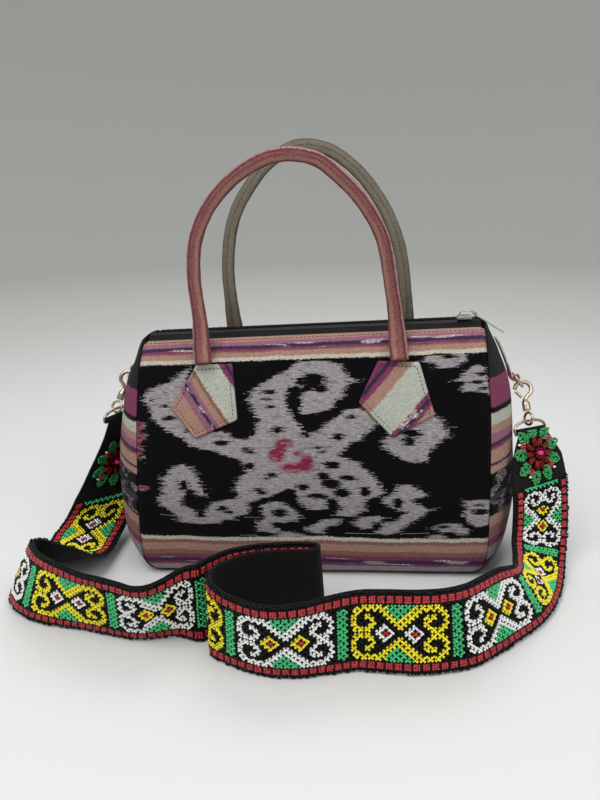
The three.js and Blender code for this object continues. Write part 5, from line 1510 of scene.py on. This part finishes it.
def teeth():
    """Coil teeth that meet in turn along the middle, on a woven cord."""
    x = np.arange(-TAPE_REACH + 1.5, TAPE_REACH - 1.5, TOOTH_PITCH)
    side = np.where(np.arange(len(x)) % 2, 1.0, -1.0)
    level = CHAIN_LEVEL + 0.25 + lift(x, BAG_HEIGHT)
    centre = np.stack([x, side * 1.0, level], -1)
    axes = np.stack([np.full(len(x), 0.12), side, np.zeros(len(x))], -1)
    made = beads("zip_teeth", centre, axes, np.tile(UP, (len(x), 1)), 3.6, 0.55, TEETH, "zip_teeth")
    x = np.linspace(-TAPE_REACH, TAPE_REACH, 90)
    line = np.stack([x, 0 * x, CHAIN_LEVEL - 0.35 + lift(x, BAG_HEIGHT)], -1)
    along = unit(np.gradient(line, axis=0))
    piece("zip_cord", *tube(line, along, (0, 1, 0), 2.9, 0.55, 12), TEETH, "zip_teeth", tint=0.2)
    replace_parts(made, "zip_chain")


# rounding of the cast metal's edges, in metres
SLIDER_BEVEL = 0.0005
PULL_BEVEL = 0.0003
HOOK_BEVEL = 0.00045
GATE_BEVEL = 0.00035


def dress_metal(name, material, bevel=0.0):
    """The solid's own shape, rounded where the real wire or casting is."""
    node = NODES[name]
    node.data.materials.clear()
    node.data.materials.append(material)
    weld = node.modifiers.new("weld", "WELD")
    weld.merge_threshold = 2e-6
    if bevel:
        soft = node.modifiers.new("bevel", "BEVEL")
        soft.width, soft.segments, soft.limit_method = bevel, 3, "ANGLE"
        soft.angle_limit = math.radians(28)
    else:
        rounding = node.modifiers.new("round", "SUBSURF")
        rounding.render_levels = rounding.levels = 2
    for polygon in node.data.polygons:
        polygon.use_smooth = True


def tab_material():
    """Striped cloth of the two tabs: pale at the top, pink and salmon by the ring."""
    paint = cloth_paint("tab_cloth")
    axes = paint.add("SeparateXYZ", {0: paint.place()}).outputs
    across, down = (paint.times(axes[k], 1000.0) for k in (1, 2))
    table = [(0, SALMON), (140.5, PINK), (146, SALMON), (151, CREAM), (154, PALE)]
    woven(paint, down, across, stripes(paint, across, down, table, 180.0))
    return paint.material


# ---- the pieces
panel()
gusset(-1, "end_gusset_left")
gusset(1, "end_gusset_right")
wall_stitches()
floating_threads()
seams = []
for wall_side, patch_name, patch_cloth, patch_slope in (
    (-1, "front_left", LEFT_PATCH, -54), (-1, "front_right", RIGHT_PATCH, -132),
    (1, "back_left", RIGHT_PATCH, -54), (1, "back_right", LEFT_PATCH, -132),
):
    seam_line, seam_up = patch(wall_side, patch_name, patch_cloth, patch_slope)
    seams.append((seam_line, seam_up, *PATCH_STITCH))
sew("patch_stitches", seams, DARK_THREAD, "patch_cloth")
front_seam = handle("handle_front", FRONT_HANDLE_ROWS, ROSE, "rose_cloth")
back_seam = handle("handle_back", BACK_HANDLE_ROWS, OLIVE, "olive_cloth")
sew("handle_front_stitches", [(*front_seam, *HANDLE_STITCH)], DARK_THREAD, "rose_cloth")
sew("handle_back_stitches", [(*back_seam, *HANDLE_STITCH)], DARK_THREAD, "olive_cloth")
tapes = ((-1, "zip_tape_front"), (1, "zip_tape_back"))
sew("zip_stitches", [(*zip_tape(*tape), *TAPE_STITCH) for tape in tapes], DARK_THREAD, "black_tape")
teeth()

webbing()
nets = [netting(f"block_{k + 1}", *ends, (YELLOW, PEARL)[k % 2]) for k, ends in enumerate(BLOCKS)]
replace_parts(nets[0], "bead_band")
picots("picot_left", LOOPS_FROM, LOOPS_MIDDLE)
picots("picot_right", LOOPS_MIDDLE, LOOPS_TO)
for flower_name, at_row in (("flower_left", 2.0), ("flower_right", len(STRAP_ROWS) - 3 + 1 / 3)):
    flower(flower_name, np.interp(at_row, STATIONS["row"], RUN), FLOWER_REACH)

TAB_CLOTH = tab_material()
dress_metal("slider_bridge", NICKEL)
dress_metal("zip_slider", NICKEL, bevel=SLIDER_BEVEL)
dress_metal("zip_pull", NICKEL, bevel=PULL_BEVEL)
for end in ("left", "right"):
    for part in ("d_ring_", "swivel_eye_", "strap_ring_"):
        dress_metal(part + end, CHAMPAGNE)
    dress_metal("hook_" + end, CHAMPAGNE, bevel=HOOK_BEVEL)
    dress_metal("hook_gate_" + end, CHAMPAGNE, bevel=GATE_BEVEL)
    dress_metal("tab_" + end, TAB_CLOTH)

# ---- floor, light and camera
paper = Paint("pale_floor", 0.9, Specular_IOR_Level=0.2)
# painted light: the floor is painted lighter around the bag and greyer further out and up the bowl's wall, a
# painted pool of light with painted shade beyond it
flat_place = paper.add("VectorMath", {0: paper.place(), 1: (1.0, 1.0, 0.35)}, operation="MULTIPLY").outputs[0]
reach = paper.add("VectorMath", {0: flat_place}, operation="LENGTH").outputs[1]
paper.colour(paper.mix(paper.step(reach, 0.3, 1.1), rgb(224, 224, 223), rgb(206, 206, 202)))
# a round bowl, plain from every side: flat, then a quarter turn up to its wall, in metres
FLOOR_FLAT = 1.9
FLOOR_TURN = 1.1
FLOOR_TOP = 2.4
profile = [(0.0, 0.0), (0.5, 0.0), (1.0, 0.0), (FLOOR_FLAT, 0.0)]
for a in np.linspace(0.05, math.pi / 2, 24):
    profile.append((FLOOR_FLAT + FLOOR_TURN * math.sin(a), FLOOR_TURN - FLOOR_TURN * math.cos(a)))
profile.append((FLOOR_FLAT + FLOOR_TURN, FLOOR_TOP))
turns = np.linspace(0, 2 * math.pi, 96, endpoint=False)
rings = np.array([[(r * math.cos(a), r * math.sin(a), z) for a in turns] for r, z in profile])
mesh = bpy.data.meshes.new("floor")
mesh.from_pydata(rings.reshape(-1, 3).tolist(), [], grid(len(profile), len(turns), ring=True).tolist())
mesh.materials.append(paper.material)
for polygon in mesh.polygons:
    polygon.use_smooth = True
stand("floor", mesh)


def aim(made, place, right, up, forward):
    """Put a lamp or camera at a place, turned to look forward."""
    rotation = np.array([right, up, -forward]).T
    made.matrix_world = Matrix.Translation(place) @ Matrix(rotation.tolist()).to_4x4()


def lamp(name, place, target, size, power):
    light = bpy.data.lights.new(name, "AREA")
    light.shape, light.size, light.energy = "DISK", size, power
    forward = unit(np.array(target) - np.array(place))
    right = unit(np.cross(forward, UP))
    aim(stand(name, light), place, right, np.cross(right, forward), forward)


# place, target and width in metres, and power
LAMPS = {
    "key_light": ((-0.5, -0.9, 1.5), (0, 0, 0.1), 1.1, 15),
    "fill_light": ((0.9, -0.9, 1.1), (0, 0, 0.1), 1.2, 7),
    "back_light": ((0.1, 0.8, 1.7), (0, 0, 0.15), 1.2, 8),
}
for lamp_name, lamp_row in LAMPS.items():
    lamp(lamp_name, *lamp_row)
world = bpy.data.worlds.new("studio")
world.use_nodes = True
sky = world.node_tree.nodes["Background"].inputs
sky["Color"].default_value = (0.86, 0.88, 0.9, 1)
sky["Strength"].default_value = 0.6
bpy.context.scene.world = world
bpy.context.scene.view_settings.view_transform = "Standard"

# the camera as fitted to the photo's view: place in metres, then yaw, downward pitch and roll in degrees
CAMERA_PLACE = (0.02921, -0.56899, 0.29501)
CAMERA_TURN = (-4.05, 17.0, -1.33)
LENS = 34.2
yaw, pitch, roll = (math.radians(a) for a in CAMERA_TURN)
flat = math.cos(pitch)
forward = np.array([math.sin(yaw) * flat, math.cos(yaw) * flat, -math.sin(pitch)])
level = np.array([math.cos(yaw), -math.sin(yaw), 0])
above = np.cross(level, forward)
right = level * math.cos(roll) + above * math.sin(roll)
up = above * math.cos(roll) - level * math.sin(roll)
camera = bpy.data.cameras.new("camera")
camera.sensor_width, camera.lens = 36, LENS
camera.clip_start = 0.01
camera_object = stand("camera", camera)
aim(camera_object, CAMERA_PLACE, right, up, forward)
bpy.context.scene.camera = camera_object
